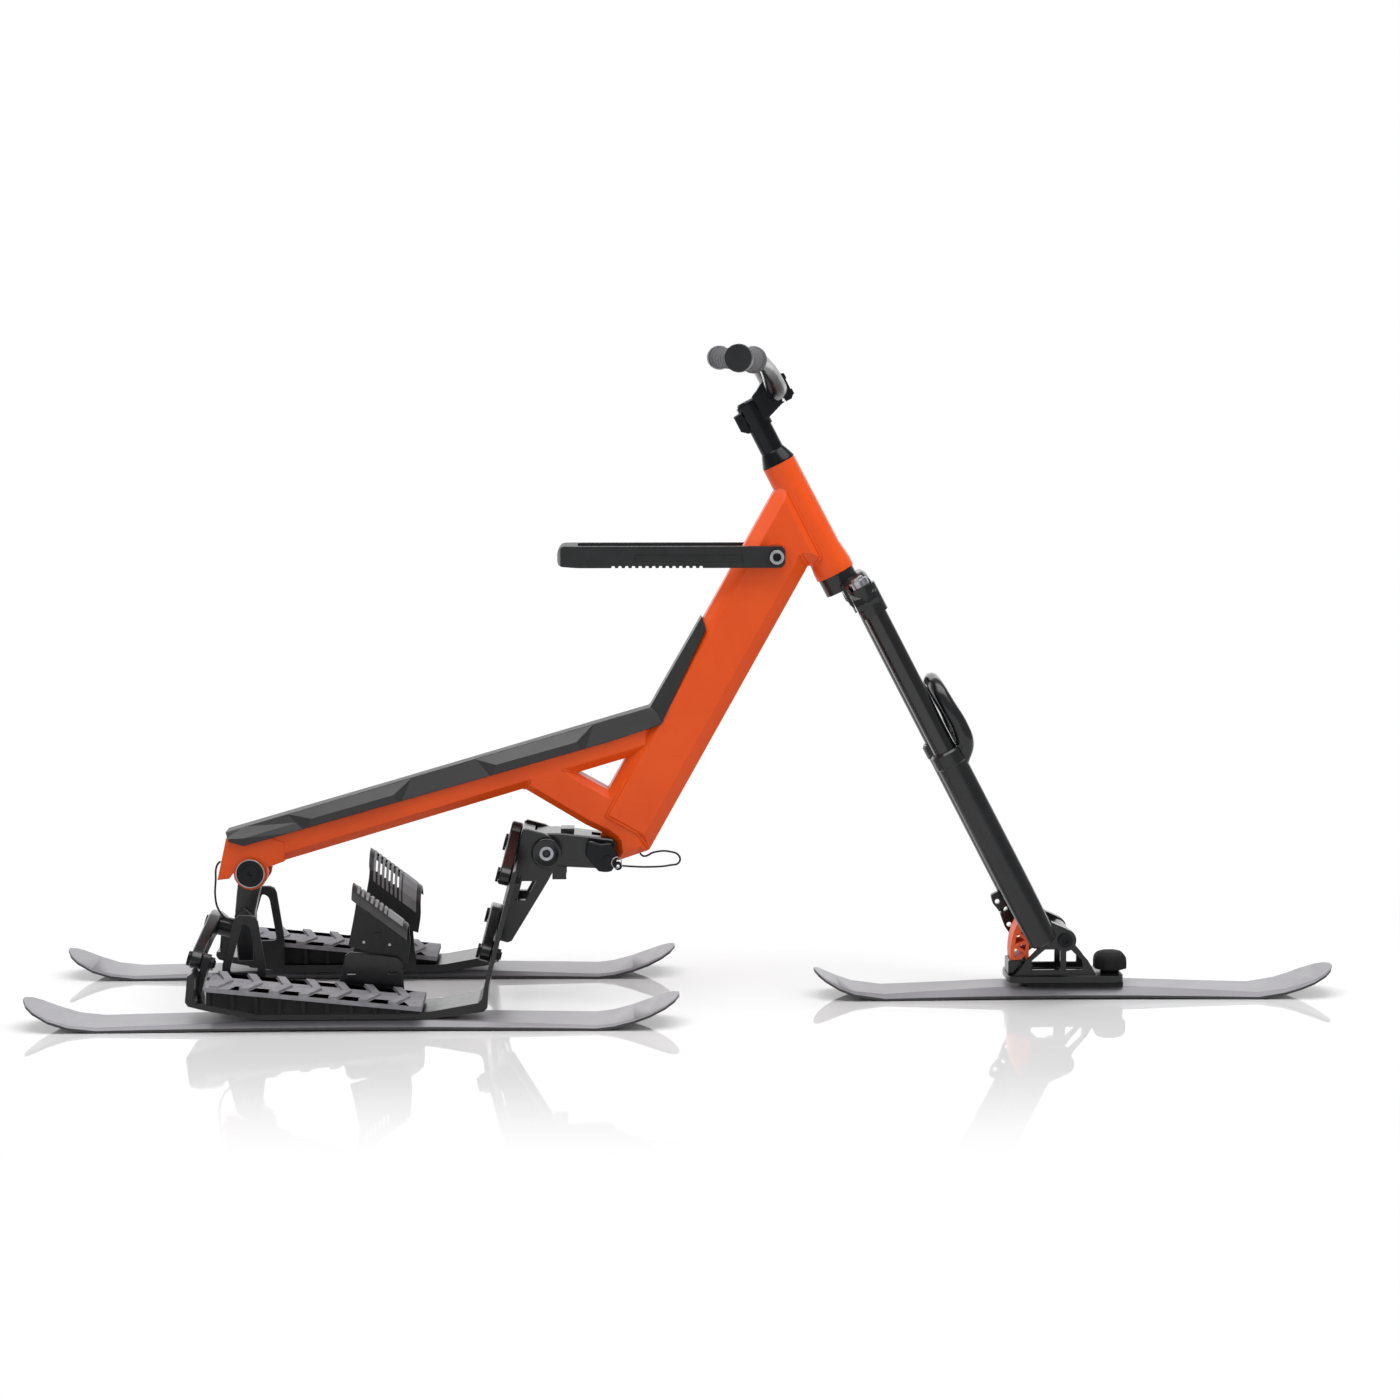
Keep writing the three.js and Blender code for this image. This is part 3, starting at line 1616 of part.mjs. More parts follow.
// A ski with a flat seat on top between the two given places
function skiSolid(ski, seatBack, seatFront) {
  const seatShares = [(seatBack - ski.tailX) / ski.length, (seatFront - ski.tailX) / ski.length];
  const curveShares = [ski.tailCurve / ski.length, 1 - ski.noseCurve / ski.length];
  const tailShares = [0, 0.008, 0.02, 0.045, 0.075, 0.2];
  const noseShares = [0.76, 0.9, 0.93, 0.955, 0.978, 0.992, 1];
  const middleShare = (seatShares[0] + seatShares[1]) / 2;
  const shares = [...tailShares, ...curveShares, ...seatShares, middleShare, ...noseShares].sort((a, b) => a - b);
  const rings = shares.map((share) => {
    const along = share * ski.length;
    const half = skiHalfWidth(ski, share);
    const span = ski.length - ski.tailCurve - ski.noseCurve;
    const flatShare = THREE.MathUtils.clamp((along - ski.tailCurve) / span, 0, 1);
    const onSeat = share >= seatShares[0] && share <= seatShares[1];
    const sole = skiSole(ski, along) + ski.camber * Math.sin(Math.PI * flatShare);
    const outside = share < seatShares[0] ? share / seatShares[0] : (1 - share) / (1 - seatShares[1]);
    const grown = Math.min(1, outside) ** skiForm.thinShare;
    const thickness = THREE.MathUtils.lerp(ski.tipThickness, ski.waistThickness, grown);
    const top = onSeat ? ski.camber + ski.waistThickness : Math.min(sole + thickness, seatCap(ski, sole, thickness));
    const rim = Math.min(ski.tipThickness, top - sole) * skiForm.rimShare;
    const inset = Math.min(half * skiForm.insetShare, (top - sole - rim) * skiForm.bevelShare + fitGap);
    const x = ski.tailX + along;
    return [
      [x, -half, sole],
      [x, half, sole],
      [x, half, sole + rim],
      [x, half - inset, top],
      [x, -half + inset, top],
      [x, -half, sole + rim],
    ];
  });
  return loft(rings);
}

// Outside the seat the top never stands above the seat, except where the tips curl up
function seatCap(ski, sole, thickness) {
  return sole > ski.camber ? sole + thickness : ski.camber + ski.waistThickness - fitGap;
}

// Lean linkage

// A cross link in its own frame: pivot in the middle, an eye at each end, lower than the middle
// A bore that turns on a faceted rod clears the rod's corners at its flats.
const turningBore = (radius, sides) => (radius + fitGap) / Math.cos(Math.PI / sides);

function crossLink(topHeight) {
  const { halfThickness, hubRadius, endRadius, armHalfHeight } = link;
  const eyeShares = [[0, 1], [0.9, 0.4], [0.9, -0.4], [0, -1], [-1, -0.8]];
  const half = [
    [hubRadius / 2, topHeight],
    [hubRadius, hubRadius],
    ...eyeShares.map(([y, z]) => [lean.crank + endRadius * y, endRadius * z - lean.chevron]),
    [hubRadius, -hubRadius],
  ];
  const shape = outline([...half, ...half.map(([y, z]) => [-y, z]).reverse()].reverse(), link.corner);
  const plate = frontPrism(shape, -halfThickness, halfThickness, { chamfer: link.edge, curveSegments: 1 });
  const inner = hubRadius + hubRadius / 2;
  const outer = lean.crank - endRadius - endRadius / 2;
  const drop = (y) => (-lean.chevron * y) / lean.crank;
  const pockets = [-1, 1].map((side) => {
    const corners = [
      [side * inner, drop(inner) + armHalfHeight / 2],
      [side * outer, drop(outer) + armHalfHeight / 2],
      [side * outer, drop(outer) - armHalfHeight / 2],
      [side * inner, drop(inner) - armHalfHeight / 2],
    ];
    return frontPrism(outline(corners), -halfThickness - overrun, -halfThickness + link.pocketDepth);
  });
  const bore = turningBore(pin.radius, smallSides);
  const holes = [0, -lean.crank, lean.crank].map((y) =>
    rodAlongX(y, y === 0 ? 0 : -lean.chevron, bore, -2 * halfThickness, 2 * halfThickness, smallSides));
  return cut(plate, ...pockets, ...holes);
}

// A pivot bolt along X with its head behind the link and its nut beyond the plate it passes
function pivotBolt(plateEnd) {
  const headFace = -link.halfThickness - fitGap;
  const headEnd = headFace - pin.headHeight;
  const nutFace = plateEnd + fitGap;
  const tip = nutFace + pin.nutHeight;
  return cut(
    join(
      rodAlongX(0, 0, pin.radius, headFace - fitGap, tip, smallSides),
      rodAlongX(0, 0, pin.headRadius, headEnd, headFace, gripSides),
      rodAlongX(0, 0, pin.nutRadius, nutFace, tip - pin.nutInset, hexSides),
    ),
    rodAlongX(0, 0, pin.hexRadius, headEnd - overrun, headEnd + pin.hexDepth, hexSides),
  );
}

const knuckleFace = link.halfThickness + turnGap;
const knuckleFront = knuckleFace + knuckle.slab;
const uprightBack = link.halfThickness + turnGap;
const uprightFront = uprightBack + cradle.uprightWall;

// Casting ahead of the two front links, with a cheek each side for the hub
function frontKnuckle() {
  const at = (along, up) => leanPoint(lean.frontLowX, lean.frontLowZ, along, up);
  const shape = outline(
    [
      at(knuckleFace, knuckle.low),
      at(knuckleFace + knuckle.footFront, knuckle.low),
      [knuckle.waistX, knuckle.waistZ],
      ...knuckle.hubShares.map(([x, z]) => [hub.x + knuckle.hubRadius * x, hub.z + knuckle.hubRadius * z]),
      at(knuckleFace, knuckle.high),
    ],
    knuckle.corner,
  );
  const window = outline([
    [knuckle.windowBackTopX, knuckle.windowTopZ],
    [knuckle.windowBackLowX, knuckle.windowLowZ],
    [knuckle.windowFrontLowX, knuckle.windowLowZ],
    [knuckle.windowFrontTopX, knuckle.windowTopZ],
  ]);
  const outer = knuckle.cheekInner + knuckle.cheekWall;
  const cheek = cut(
    join(
      sidePrism(shape, knuckle.cheekInner, outer, { chamfer: knuckle.edge, curveSegments: 1 }),
      rodAlongY(hub.x, hub.z, knuckle.hubRadius, knuckle.cheekInner, outer),
    ),
    sidePrism(window, knuckle.cheekInner - overrun, outer + overrun),
  );
  const half = knuckle.cheekInner + knuckle.cheekWall / 2;
  const top = knuckle.high - knuckle.corner;
  const inner = knuckle.cheekInner - knuckle.recess;
  const slabShape = outline([[-half, knuckle.low], [half, knuckle.low], [half, top], [-half, top]]);
  const recess = block(
    knuckleFace + knuckle.recess,
    knuckleFront + overrun,
    -inner,
    inner,
    link.hubRadius + knuckle.corner,
    lean.spacing - link.hubRadius - knuckle.corner,
  );
  const toPlace = (solid) => fromLean(solid, lean.frontLowX, lean.frontLowZ);
  const slab = toPlace(cut(frontPrism(slabShape, knuckleFace, knuckleFront), recess));
  const wellRadius = pin.nutRadius + pin.pocketGap;
  const bores = [0, lean.spacing].map((up) => toPlace(join(
    rodAlongX(0, up, pin.radius + fitGap, 0, 2 * knuckleFront, smallSides),
    rodAlongX(0, up, wellRadius, knuckleFront - knuckle.nutRecess, 2 * knuckleFront, gripSides),
  )));
  return cut(
    join(cheek, mirrored(cheek), slab),
    ...bores,
    rodAlongY(hub.x, hub.z, hubAxle.radius + fitGap, -2 * outer, 2 * outer, gripSides),
  );
}

// Arm between the hub and the frame's tongue
function frontArm() {
  const topZ = hub.z + arm.hubRadius + arm.plateHeight;
  const shape = outline(
    [
      [hub.x - arm.hubRadius, hub.z],
      [hub.x - arm.hubRadius + arm.corner, hub.z - arm.hubRadius],
      [lockPlace.x, lockPlace.z - arm.pinRadius],
      [lockPlace.x + arm.pinRadius - arm.corner, lockPlace.z - arm.pinRadius + arm.corner],
      [lockPlace.x + arm.pinRadius - arm.corner, lockPlace.z + arm.pinRadius],
      [hub.x + arm.hubRadius, topZ],
      [hub.x - arm.hubRadius, topZ],
    ],
    arm.corner,
  );
  const lug = outline([
    [arm.lugBackX, hub.z],
    [arm.lugBackX, arm.lugLowZ],
    [arm.lugFrontX, arm.lugLowZ],
    [arm.lugFrontX, hub.z],
  ]);
  const plate = outline([
    [arm.tabBackX, hub.z],
    [arm.tabFrontX, hub.z],
    [arm.tabFrontX, topZ + arm.tabRise],
    [arm.tabBackX, topZ + arm.tabRise],
  ]);
  const body = join(
    sidePrism(shape, -arm.halfWidth, arm.halfWidth, { chamfer: arm.edge, curveSegments: 1 }),
    sidePrism(lug, -arm.halfWidth + arm.edge, arm.halfWidth - arm.edge),
    sidePrism(plate, -arm.tabHalfWidth, arm.tabHalfWidth),
  );
  const slot = block(
    lockPlace.x - tongue.radius - overrun,
    lockPlace.x + 3 * arm.pinRadius,
    -tongue.halfWidth - fitGap,
    tongue.halfWidth + fitGap,
    lockPlace.z - 3 * arm.pinRadius,
    lockPlace.z + 3 * arm.pinRadius,
  );
  const lightening = block(
    hub.x + arm.hubRadius,
    lockPlace.x - tongue.radius - 2 * overrun,
    -arm.halfWidth + arm.wall,
    arm.halfWidth - arm.wall,
    hub.z - 3 * arm.hubRadius,
    topZ - arm.plateHeight,
  );
  const wide = 2 * arm.halfWidth;
  const knuckleRoom = block(-knuckleFront, knuckleFront + turnGap, -wide, wide, knuckle.low, 2 * knuckle.high);
  return cut(
    body,
    slot,
    lightening,
    frameTubes(2 * fitGap),
    fromLean(knuckleRoom, lean.frontLowX, lean.frontLowZ),
    rodAlongY(hub.x, hub.z, hubAxle.radius + fitGap, -wide, wide, gripSides),
    rodAlongY(lockPlace.x, lockPlace.z, lockPin.radius + turnGap, -wide, wide, gripSides),
  );
}

// An axle along Y with a capped end on each side
function cappedAxle(x, z, size, innerFace) {
  const face = innerFace + fitGap;
  const ringFace = face + size.capHeight;
  const end = ringFace + size.ringHeight;
  const both = (radius, from, to, sides) =>
    join(rodAlongY(x, z, radius, from, to, sides), rodAlongY(x, z, radius, -to, -from, sides));
  return cut(
    join(
      rodAlongY(x, z, size.radius, -face, face, gripSides),
      both(size.capRadius, face, ringFace, roundSides),
      both(size.ringRadius, ringFace - fitGap, end, gripSides),
    ),
    both(size.hexRadius, end - size.hexDepth, end + overrun, hexSides),
  );
}

const rearPostReach = (rearPost.waistX - lean.rearX) / Math.cos(lean.tilt) - rearPost.thickness / 2;
const rearNutFace = rearPostReach + pin.nutHeight / 2;

// Post that hangs from the rear pivot and carries the rear link
function rearPostSolid() {
  const lowX = rearPost.waistX - rearPost.thickness;
  const { taper, corner, edge } = rearPost;
  const shape = outline(
    [
      [rearPivot.x - rearPost.eyeRadius + edge, rearPivot.z],
      [lowX + taper, rearPost.neckZ],
      [lowX, rearPost.waistZ],
      [lowX + taper, rearPost.lowZ],
      [rearPost.waistX, rearPost.lowZ],
      [rearPost.waistX, rearPost.waistZ],
      [rearPost.neckX, rearPost.neckZ],
      [rearPivot.x + rearPost.eyeRadius - edge, rearPivot.z],
      [rearPivot.x, rearPivot.z + rearPost.eyeRadius - corner],
    ],
    corner,
  );
  const lowShape = outline([
    [lowX, rearPost.waistZ],
    [lowX + taper, rearPost.lowZ],
    [rearPost.waistX, rearPost.lowZ],
    [rearPost.waistX, rearPost.waistZ],
    [(lowX + rearPost.waistX) / 2, rearPost.waistZ + rearPost.shoulder],
  ]);
  const wide = 2 * rearPost.halfWidth;
  const toPlace = (solid) => fromLean(solid, lean.rearX, lean.rearZ);
  return cut(
    join(
      sidePrism(shape, -rearPost.eyeHalfWidth, rearPost.eyeHalfWidth, { chamfer: edge, curveSegments: 1 }),
      sidePrism(lowShape, -rearPost.halfWidth, rearPost.halfWidth, { chamfer: edge }),
      rodAlongY(rearPivot.x, rearPivot.z, rearPost.eyeRadius, -rearPost.eyeHalfWidth, rearPost.eyeHalfWidth),
      toPlace(rodAlongX(0, 0, rearPost.bossRadius, knuckleFace, rearPostReach, gripSides)),
    ),
    toPlace(rodAlongX(0, 0, pin.radius + fitGap, 0, rearNutFace + overrun, smallSides)),
    toPlace(rodAlongX(0, 0, pin.nutRadius + pin.pocketGap, rearNutFace, 3 * rearNutFace, gripSides)),
    rodAlongY(rearPivot.x, rearPivot.z, rearAxle.radius + fitGap, -wide, wide, gripSides),
  );
}


// Quick release pin with its pull handle on the rider's right
function lockPinSolid() {
  const half = lockPin.handleHalf;
  const back = -lockPin.stand - lockPin.handleThick;
  const handleShares = [[-1, 1], [-1.25, 0.2], [-0.4, -0.9], [0.4, -0.9], [0.8, 0.1], [0.3, 0.9], [-0.2, 0.75]];
  const eyeletShares = [0.75, -0.55];
  const at = ([x, z]) => [lockPlace.x + half * x, lockPlace.z + half * z];
  const plate = sidePrism(outline(handleShares.map(at), lockPin.ringRadius), back, -lockPin.stand + fitGap, {
    chamfer: lockPin.handleEdge,
  });
  const [eyeX, eyeZ] = at(eyeletShares);
  const ringX = lockPlace.x + lockPin.ringRadius / 2;
  const ringZ = lockPlace.z - lockPin.ringRadius / 2;
  return cut(
    join(
      rodAlongY(lockPlace.x, lockPlace.z, lockPin.radius, -lockPin.stand, lockPin.tip, gripSides),
      rodAlongY(lockPlace.x, lockPlace.z, lockPin.collarRadius, -lockPin.stand, -arm.halfWidth - fitGap, gripSides),
      plate,
      rodAlongY(ringX, ringZ, lockPin.ringRadius, back - lockPin.ringHeight, back + overrun, gripSides),
      rodAlongY(eyeX, eyeZ, lockPin.eyeletRadius, back, -lockPin.stand, gripSides),
    ),
    rodAlongY(eyeX, eyeZ, lockPin.eyeletBore, back - overrun, -lockPin.stand + overrun, smallSides),
  );
}

// Ski carriers, built for the left side (positive Y) and mirrored for the right

const rearSkiTop = rearSki.camber + rearSki.waistThickness;
const cradleFoot = rearSkiTop + fitGap;
// The cradle's side view: a rear lip, the floor over the ski and the upright before the front links
function cradleOutline() {
  const { wall, lipX, lipRise, heelX, heelRise, lipTopX, lipTop } = cradle;
  const low = (along, up) => leanPoint(lean.frontLowX, lean.frontLowZ, along, up - lean.chevron);
  const high = (along, up) => leanPoint(frontHighX, frontHighZ, along, up - lean.chevron);
  return outline(
    [
      [lipTopX, cradleFoot + lipTop],
      [heelX, cradleFoot + heelRise],
      [lipX, cradleFoot + lipRise],
      [cradle.floorBackX, cradleFoot],
      [cradle.floorFrontX, cradleFoot],
      low(uprightFront + cradle.uprightSplay, -cradle.uprightFoot),
      low(uprightFront, -lean.chevron),
      high(uprightFront, cradle.uprightTop),
      high(uprightBack, cradle.uprightTop),
      low(uprightBack, -lean.chevron),
      low(uprightFront + cradle.uprightSplay - wall, wall - cradle.uprightFoot),
      [cradle.floorFrontX, cradleFoot + wall],
      [cradle.floorBackX, cradleFoot + wall],
      [lipX, cradleFoot + lipRise + wall],
      [heelX + wall, cradleFoot + heelRise + cradle.lipDrop],
      [lipTopX + wall, cradleFoot + lipTop - cradle.lipDrop],
    ],
    cradle.corner,
  );
}

function skiCradle() {
  const plate = sidePrism(cradleOutline(), cradle.inner, cradle.outer, { curveSegments: 1 });
  const lipNotch = block(
    cradle.heelX - 3 * cradle.wall,
    cradle.lipX - cradle.wall,
    cradle.inner - overrun,
    cradle.lipInner,
    cradleFoot + cradle.heelRise + cradle.wall,
    2 * cradle.lipTop,
  );
  const lugFoot = cradleFoot + cradle.heelRise - lean.rearZ;
  const boss = cradle.bossRadius;
  const lug = frontPrism(
    outline(
      [
        [cradle.lugInner, lugFoot],
        [cradle.lugOuter, lugFoot],
        [lean.crank + boss, -lean.chevron],
        [lean.crank + boss / 2, -lean.chevron + boss],
        [lean.crank - boss / 2, -lean.chevron + boss],
        [lean.crank - boss, -lean.chevron],
      ],
      cradle.corner,
    ),
    uprightBack,
    uprightBack + cradle.lugWall,
  );
  const bores = [
    [lean.frontLowX, lean.frontLowZ],
    [frontHighX, frontHighZ],
    [lean.rearX, lean.rearZ],
  ].map(([x, z]) =>
    fromLean(rodAlongX(lean.crank, -lean.chevron, pin.radius + fitGap, 0, 3 * uprightFront, smallSides), x, z));
  const windowInner = lean.crank + cradle.windowSide;
  const windowOuter = cradle.outer - cradle.windowEnd;
  const windowLow = cradle.windowEnd - lean.chevron;
  const windowHigh = lean.spacing - lean.chevron - cradle.windowEnd;
  const window = frontPrism(
    outline(
      [
        [windowInner, windowLow],
        [windowOuter, windowLow],
        [windowOuter, windowHigh],
        [windowInner, windowHigh],
      ],
      cradle.windowCorner,
    ),
    uprightBack - overrun,
    uprightFront + overrun,
  );
  return cut(
    join(cut(plate, lipNotch), fromLean(lug, lean.rearX, lean.rearZ)),
    ...bores,
    fromLean(window, lean.frontLowX, lean.frontLowZ),
  );
}

function deckTopZ(x) {
  return deck.backZ + ((deck.frontZ - deck.backZ) * (x - deck.backX)) / (deck.frontX - deck.backX);
}

function deckBase() {
  const backX = deck.backX + deck.edge;
  const frontX = deck.frontX - deck.edge;
  const top = (x) => deckTopZ(x) - deck.tread - deck.ridge - fitGap;
  const floor = cradleFoot + cradle.wall + 2 * fitGap;
  const backFloor = floor + cradle.lipRise + deck.ridgeInset;
  const shape = outline([
    [backX, backFloor],
    [cradle.floorBackX, floor],
    [frontX, floor],
    [frontX, top(frontX)],
    [backX, top(backX)],
  ]);
  const core = sidePrism(shape, deck.inner + deck.ribDepth, deck.outer - deck.ribDepth);
  const full = sidePrism(shape, deck.inner, deck.outer);
  const ribs = [];
  for (let x = backX; x < frontX; x += deck.ribPitch) {
    ribs.push(block(x, x + deck.ribWidth, deck.inner, deck.outer, 0, deck.backZ));
  }
  return join(core, full.intersect(join(...ribs)));
}

// Tread with chevron ridges across it
function deckTread() {
  const layer = (low, high, inset) => sidePrism(
    outline([
      [deck.backX, deckTopZ(deck.backX) - low],
      [deck.frontX, deckTopZ(deck.frontX) - low],
      [deck.frontX, deckTopZ(deck.frontX) - high],
      [deck.backX, deckTopZ(deck.backX) - high],
    ]),
    deck.inner + inset,
    deck.outer - inset,
  );
  const slab = layer(deck.ridge + deck.tread, deck.ridge, 0);
  const ridgeBand = layer(deck.ridge + deck.tread / 2, 0, deck.ridgeInset);
  const middle = (deck.inner + deck.outer) / 2;
  const span = deck.frontX - deck.backX - 2 * deck.ridgeMargin - deck.ridgeSweep;
  const chevrons = [];
  for (let i = 0; i < deck.ridges; i += 1) {
    const x = deck.backX + deck.ridgeMargin + (span * i) / (deck.ridges - 1);
    const shape = outline([
      [x, deck.inner],
      [x + deck.ridgeSweep, middle],
      [x, deck.outer],
      [x - deck.ridgeWidth, deck.outer],
      [x + deck.ridgeSweep - deck.ridgeWidth, middle],
      [x - deck.ridgeWidth, deck.inner],
    ]);
    chevrons.push(upright(shape, 0, 2 * deck.backZ));
  }
  return join(slab, ridgeBand.intersect(join(...chevrons)));
}

// Arch beside the heel, standing on the cradle's inner edge
function heelGuard() {
  const { band, corner } = guard;
  const sill = deck.backZ - corner;
  const shape = outline(
    [
      [guard.backX + corner, guard.lowZ + corner],
      [guard.frontX, guard.lowZ],
      [guard.frontX, deck.backZ],
      [guard.topFrontX, guard.topZ - corner],
      [guard.topFrontX - corner, guard.topZ],
      [guard.topBackX, guard.topZ],
      [guard.backX, deck.backZ],
    ],
    corner,
  );
  const window = outline(
    [
      [guard.backX + band, sill],
      [guard.frontX - band, sill],
      [guard.topFrontX - band, guard.topZ - band - corner],
      [guard.topBackX + band, guard.topZ - band],
    ],
    corner,
  );
  const outer = cradle.inner - fitGap;
  const inner = outer - guard.thickness;
  return cut(
    sidePrism(shape, inner, outer, { chamfer: guard.edge, curveSegments: 1 }),
    sidePrism(window, inner - overrun, outer + overrun),
  );
}

// Slotted plate that carries the foot hook
function hookBracket() {
  const outer = cradle.inner - fitGap;
  const inner = outer - bracket.thickness;
  const shape = outline(
    [
      [bracket.backX, bracket.lowBackZ],
      [bracket.frontX, bracket.lowFrontZ],
      [bracket.topFrontX, bracket.topFrontZ],
      [bracket.topBackX, bracket.topBackZ],
    ],
    bracket.corner,
  );
  const atShare = (share) => THREE.MathUtils.lerp(bracket.backX, bracket.frontX, share);
  const slots = bracket.slotShares.map((share) => {
    const x = atShare(share);
    const low = bracket.rowLowZ - bracket.slotWidth / 2;
    return block(x, x + bracket.slotLength, inner - overrun, outer + overrun, low, low + bracket.slotWidth);
  });
  const head = (share, z) =>
    rodAlongY(atShare(share), z, bracket.boltRadius, inner - bracket.boltHead, inner + bracket.boltHead, smallSides);
  return join(
    cut(sidePrism(shape, inner, outer, { chamfer: bracket.edge, curveSegments: 1 }), ...slots),
    ...bracket.highBoltShares.map((share) => head(share, bracket.rowHighZ)),
    ...bracket.lowBoltShares.map((share) => head(share, bracket.rowLowZ)),
  );
}

// Curved shell of the foot hook: a wall up from the bracket that bends outward over the boot,
// lower at the front than at the back, with a comb of slots along the bend
function hookShell() {
  const face = cradle.inner - fitGap - bracket.thickness - fitGap;
  const centreY = face - hook.wall + hook.bendRadius;
  const section = (lowX, topX, lowZ, topZ) => {
    const centreZ = topZ - hook.bendRadius;
    const ring = (radius) => {
      const points = [[lowX, centreY - radius, lowZ]];
      for (let i = 0; i <= hook.bendSteps; i += 1) {
        const turn = (hook.bendSweep * i) / hook.bendSteps;
        points.push([topX, centreY - radius * Math.cos(turn), centreZ + radius * Math.sin(turn)]);
      }
      return points;
    };
    return [...ring(hook.bendRadius - hook.wall), ...ring(hook.bendRadius).reverse()];
  };
  const rings = [
    section(hook.backX, hook.backTopX, hook.backLowZ, hook.backTopZ),
    section(hook.frontX, hook.frontTopX, hook.frontLowZ, hook.frontTopZ),
  ];
  const flat = rings[0].map(([, y, z]) => new THREE.Vector2(y, z));
  const ends = THREE.ShapeUtils.triangulateShape(flat, []);
  const shell = loft(rings, ends);
  const fall = (hook.backTopZ - hook.frontTopZ) / (hook.frontTopX - hook.backTopX);
  const slots = [];
  for (let i = 0; i < hook.slots; i += 1) {
    const x = hook.backTopX + hook.slotMargin + i * hook.slotPitch;
    const top = hook.backTopZ - fall * (x - hook.backTopX);
    slots.push(
      block(x, x + hook.slotWidth, face - hook.wall - overrun, centreY, top - hook.slotHeight, top + overrun),
    );
  }
  const wallX = (hook.backX + hook.frontX) / 2;
  const wallZ = (hook.backLowZ + hook.frontTopZ) / 2;
  const boss = block(
    wallX - hook.bossSize / 2,
    wallX + hook.bossSize / 2,
    face - hook.wall / 2,
    face + hook.bossDepth,
    wallZ - hook.bossSize,
    wallZ,
  );
  return join(cut(shell, ...slots), boss);
}

// Lift loop and its axle

// Loop to lift the bike by, with grip teeth under it and a shallow panel in each side
function liftLoop() {
  const outer = loop.halfInner + loop.wall;
  const endX = loop.x - loop.length;
  const half = loop.height / 2;
  const frontX = loop.x + half;
  const hoop = (backX, toX, halfWidth, corner, reach) =>
    upright(
      outline([[backX, -halfWidth], [toX, -halfWidth], [toX, halfWidth], [backX, halfWidth]], corner),
      -reach,
      reach,
    );
  const ring = cut(
    hoop(endX, frontX, outer, loop.endRadius, half),
    hoop(endX + loop.endWall, frontX + half, loop.halfInner, loop.endRadius / 2, 2 * half),
  );
  const sideShape = outline(
    [
      [endX, -half + loop.edge],
      [endX + loop.height, -half],
      [frontX, -half],
      [frontX, half],
      [endX + loop.noseStep, half],
      [endX, half / 2],
    ],
    loop.noseCorner,
  );
  const tools = [rodAlongY(loop.x, 0, turningBore(loopAxle.radius, gripSides), -2 * outer, 2 * outer, gripSides)];
  for (let i = 0; i < loop.teeth; i += 1) {
    const x = loop.x - loop.teethFrom - i * loop.toothPitch;
    const [a, b, c, d] = loop.toothShares.map((share) => x - loop.toothPitch * share);
    const low = -half - loop.edge / 2;
    const high = -half + loop.toothDepth;
    tools.push(sidePrism(outline([[a, low], [b, low], [c, high], [d, high]]), -outer - overrun, outer + overrun));
  }
  for (const side of [-1, 1]) {
    const backX = loop.x - loop.recessFrom - loop.recessLength;
    const middle = -loop.recessDrop;
    const near = side > 0 ? outer - loop.recessDepth : -outer - overrun;
    tools.push(block(
      backX,
      backX + loop.recessLength,
      near,
      near + loop.recessDepth + overrun,
      middle - loop.recessHeight / 2,
      middle + loop.recessHeight / 2,
    ));
  }
  return cut(ring.intersect(sidePrism(sideShape, -2 * outer, 2 * outer)), ...tools).translate([0, 0, loop.z]);
}

// Cord along its hand chosen points
function lanyard(points) {
  const curve = new THREE.CatmullRomCurve3(points.map((point) => new THREE.Vector3(...point)));
  console.log(`cord length ${curve.getLength().toFixed(1)} mm`);
  return sweptRod(curve, () => wireRadius, wire.steps, wire.sides);
}

// Assembly

const skiBike = new THREE.Group();
const steeringGroup = new THREE.Group();
steeringGroup.position.set(head.x, 0, head.z);
steeringGroup.rotation.y = -head.lean;
skiBike.add(steeringGroup);

function place(name, solid, finish, parent = skiBike) {
  const mesh = new THREE.Mesh(toGeometry(solid), new THREE.MeshStandardMaterial(finishes[finish]));
  mesh.name = name;
  parent.add(mesh);
  return mesh;
}

function linkGroup(x, z) {
  const group = new THREE.Group();
  group.position.set(x, 0, z);
  group.rotation.y = lean.tilt;
  skiBike.add(group);
  return group;
}

place("main_frame", mainFrame(), "orange");
place("frame_pad", framePad(), "pad");
place("lower_headset_bearing", bearingRing(head.seatDepth - bearing.height - fitGap), "steel", steeringGroup);
place("upper_headset_bearing", bearingRing(head.length - head.seatDepth + fitGap), "steel", steeringGroup);
place("lift_loop", liftLoop(), "black");
place("lift_loop_axle", cappedAxle(loop.x, loop.z, {
  radius: loopAxle.radius,
  capRadius: loopAxle.headRadius,
  capHeight: loopAxle.headHeight / 2,
  ringRadius: loopAxle.ringRadius,
  ringHeight: loopAxle.headHeight / 2,
  hexRadius: loopAxle.hexRadius,
  hexDepth: loopAxle.hexDepth,
}, loop.halfInner + loop.wall), "steel");

place("fork_crown", forkCrown(), "black", steeringGroup);
place("stanchion_right", stanchion(-1), "gloss", steeringGroup);
place("stanchion_left", stanchion(1), "gloss", steeringGroup);
place("crown_adjuster", crownAdjuster(), "steel", steeringGroup);
place("headset_cone", headsetCone(), "black", steeringGroup);
place("stem", stemBody(), "black", steeringGroup);
place("stem_faceplate", stemFaceplate(), "black", steeringGroup);
place("stem_top_cap", stemTopCap(), "black", steeringGroup);
place("handlebar", handlebar(), "black", steeringGroup);
place("grip_right", placedGrip(-1), "rubber", steeringGroup);
place("grip_left", placedGrip(1), "rubber", steeringGroup);

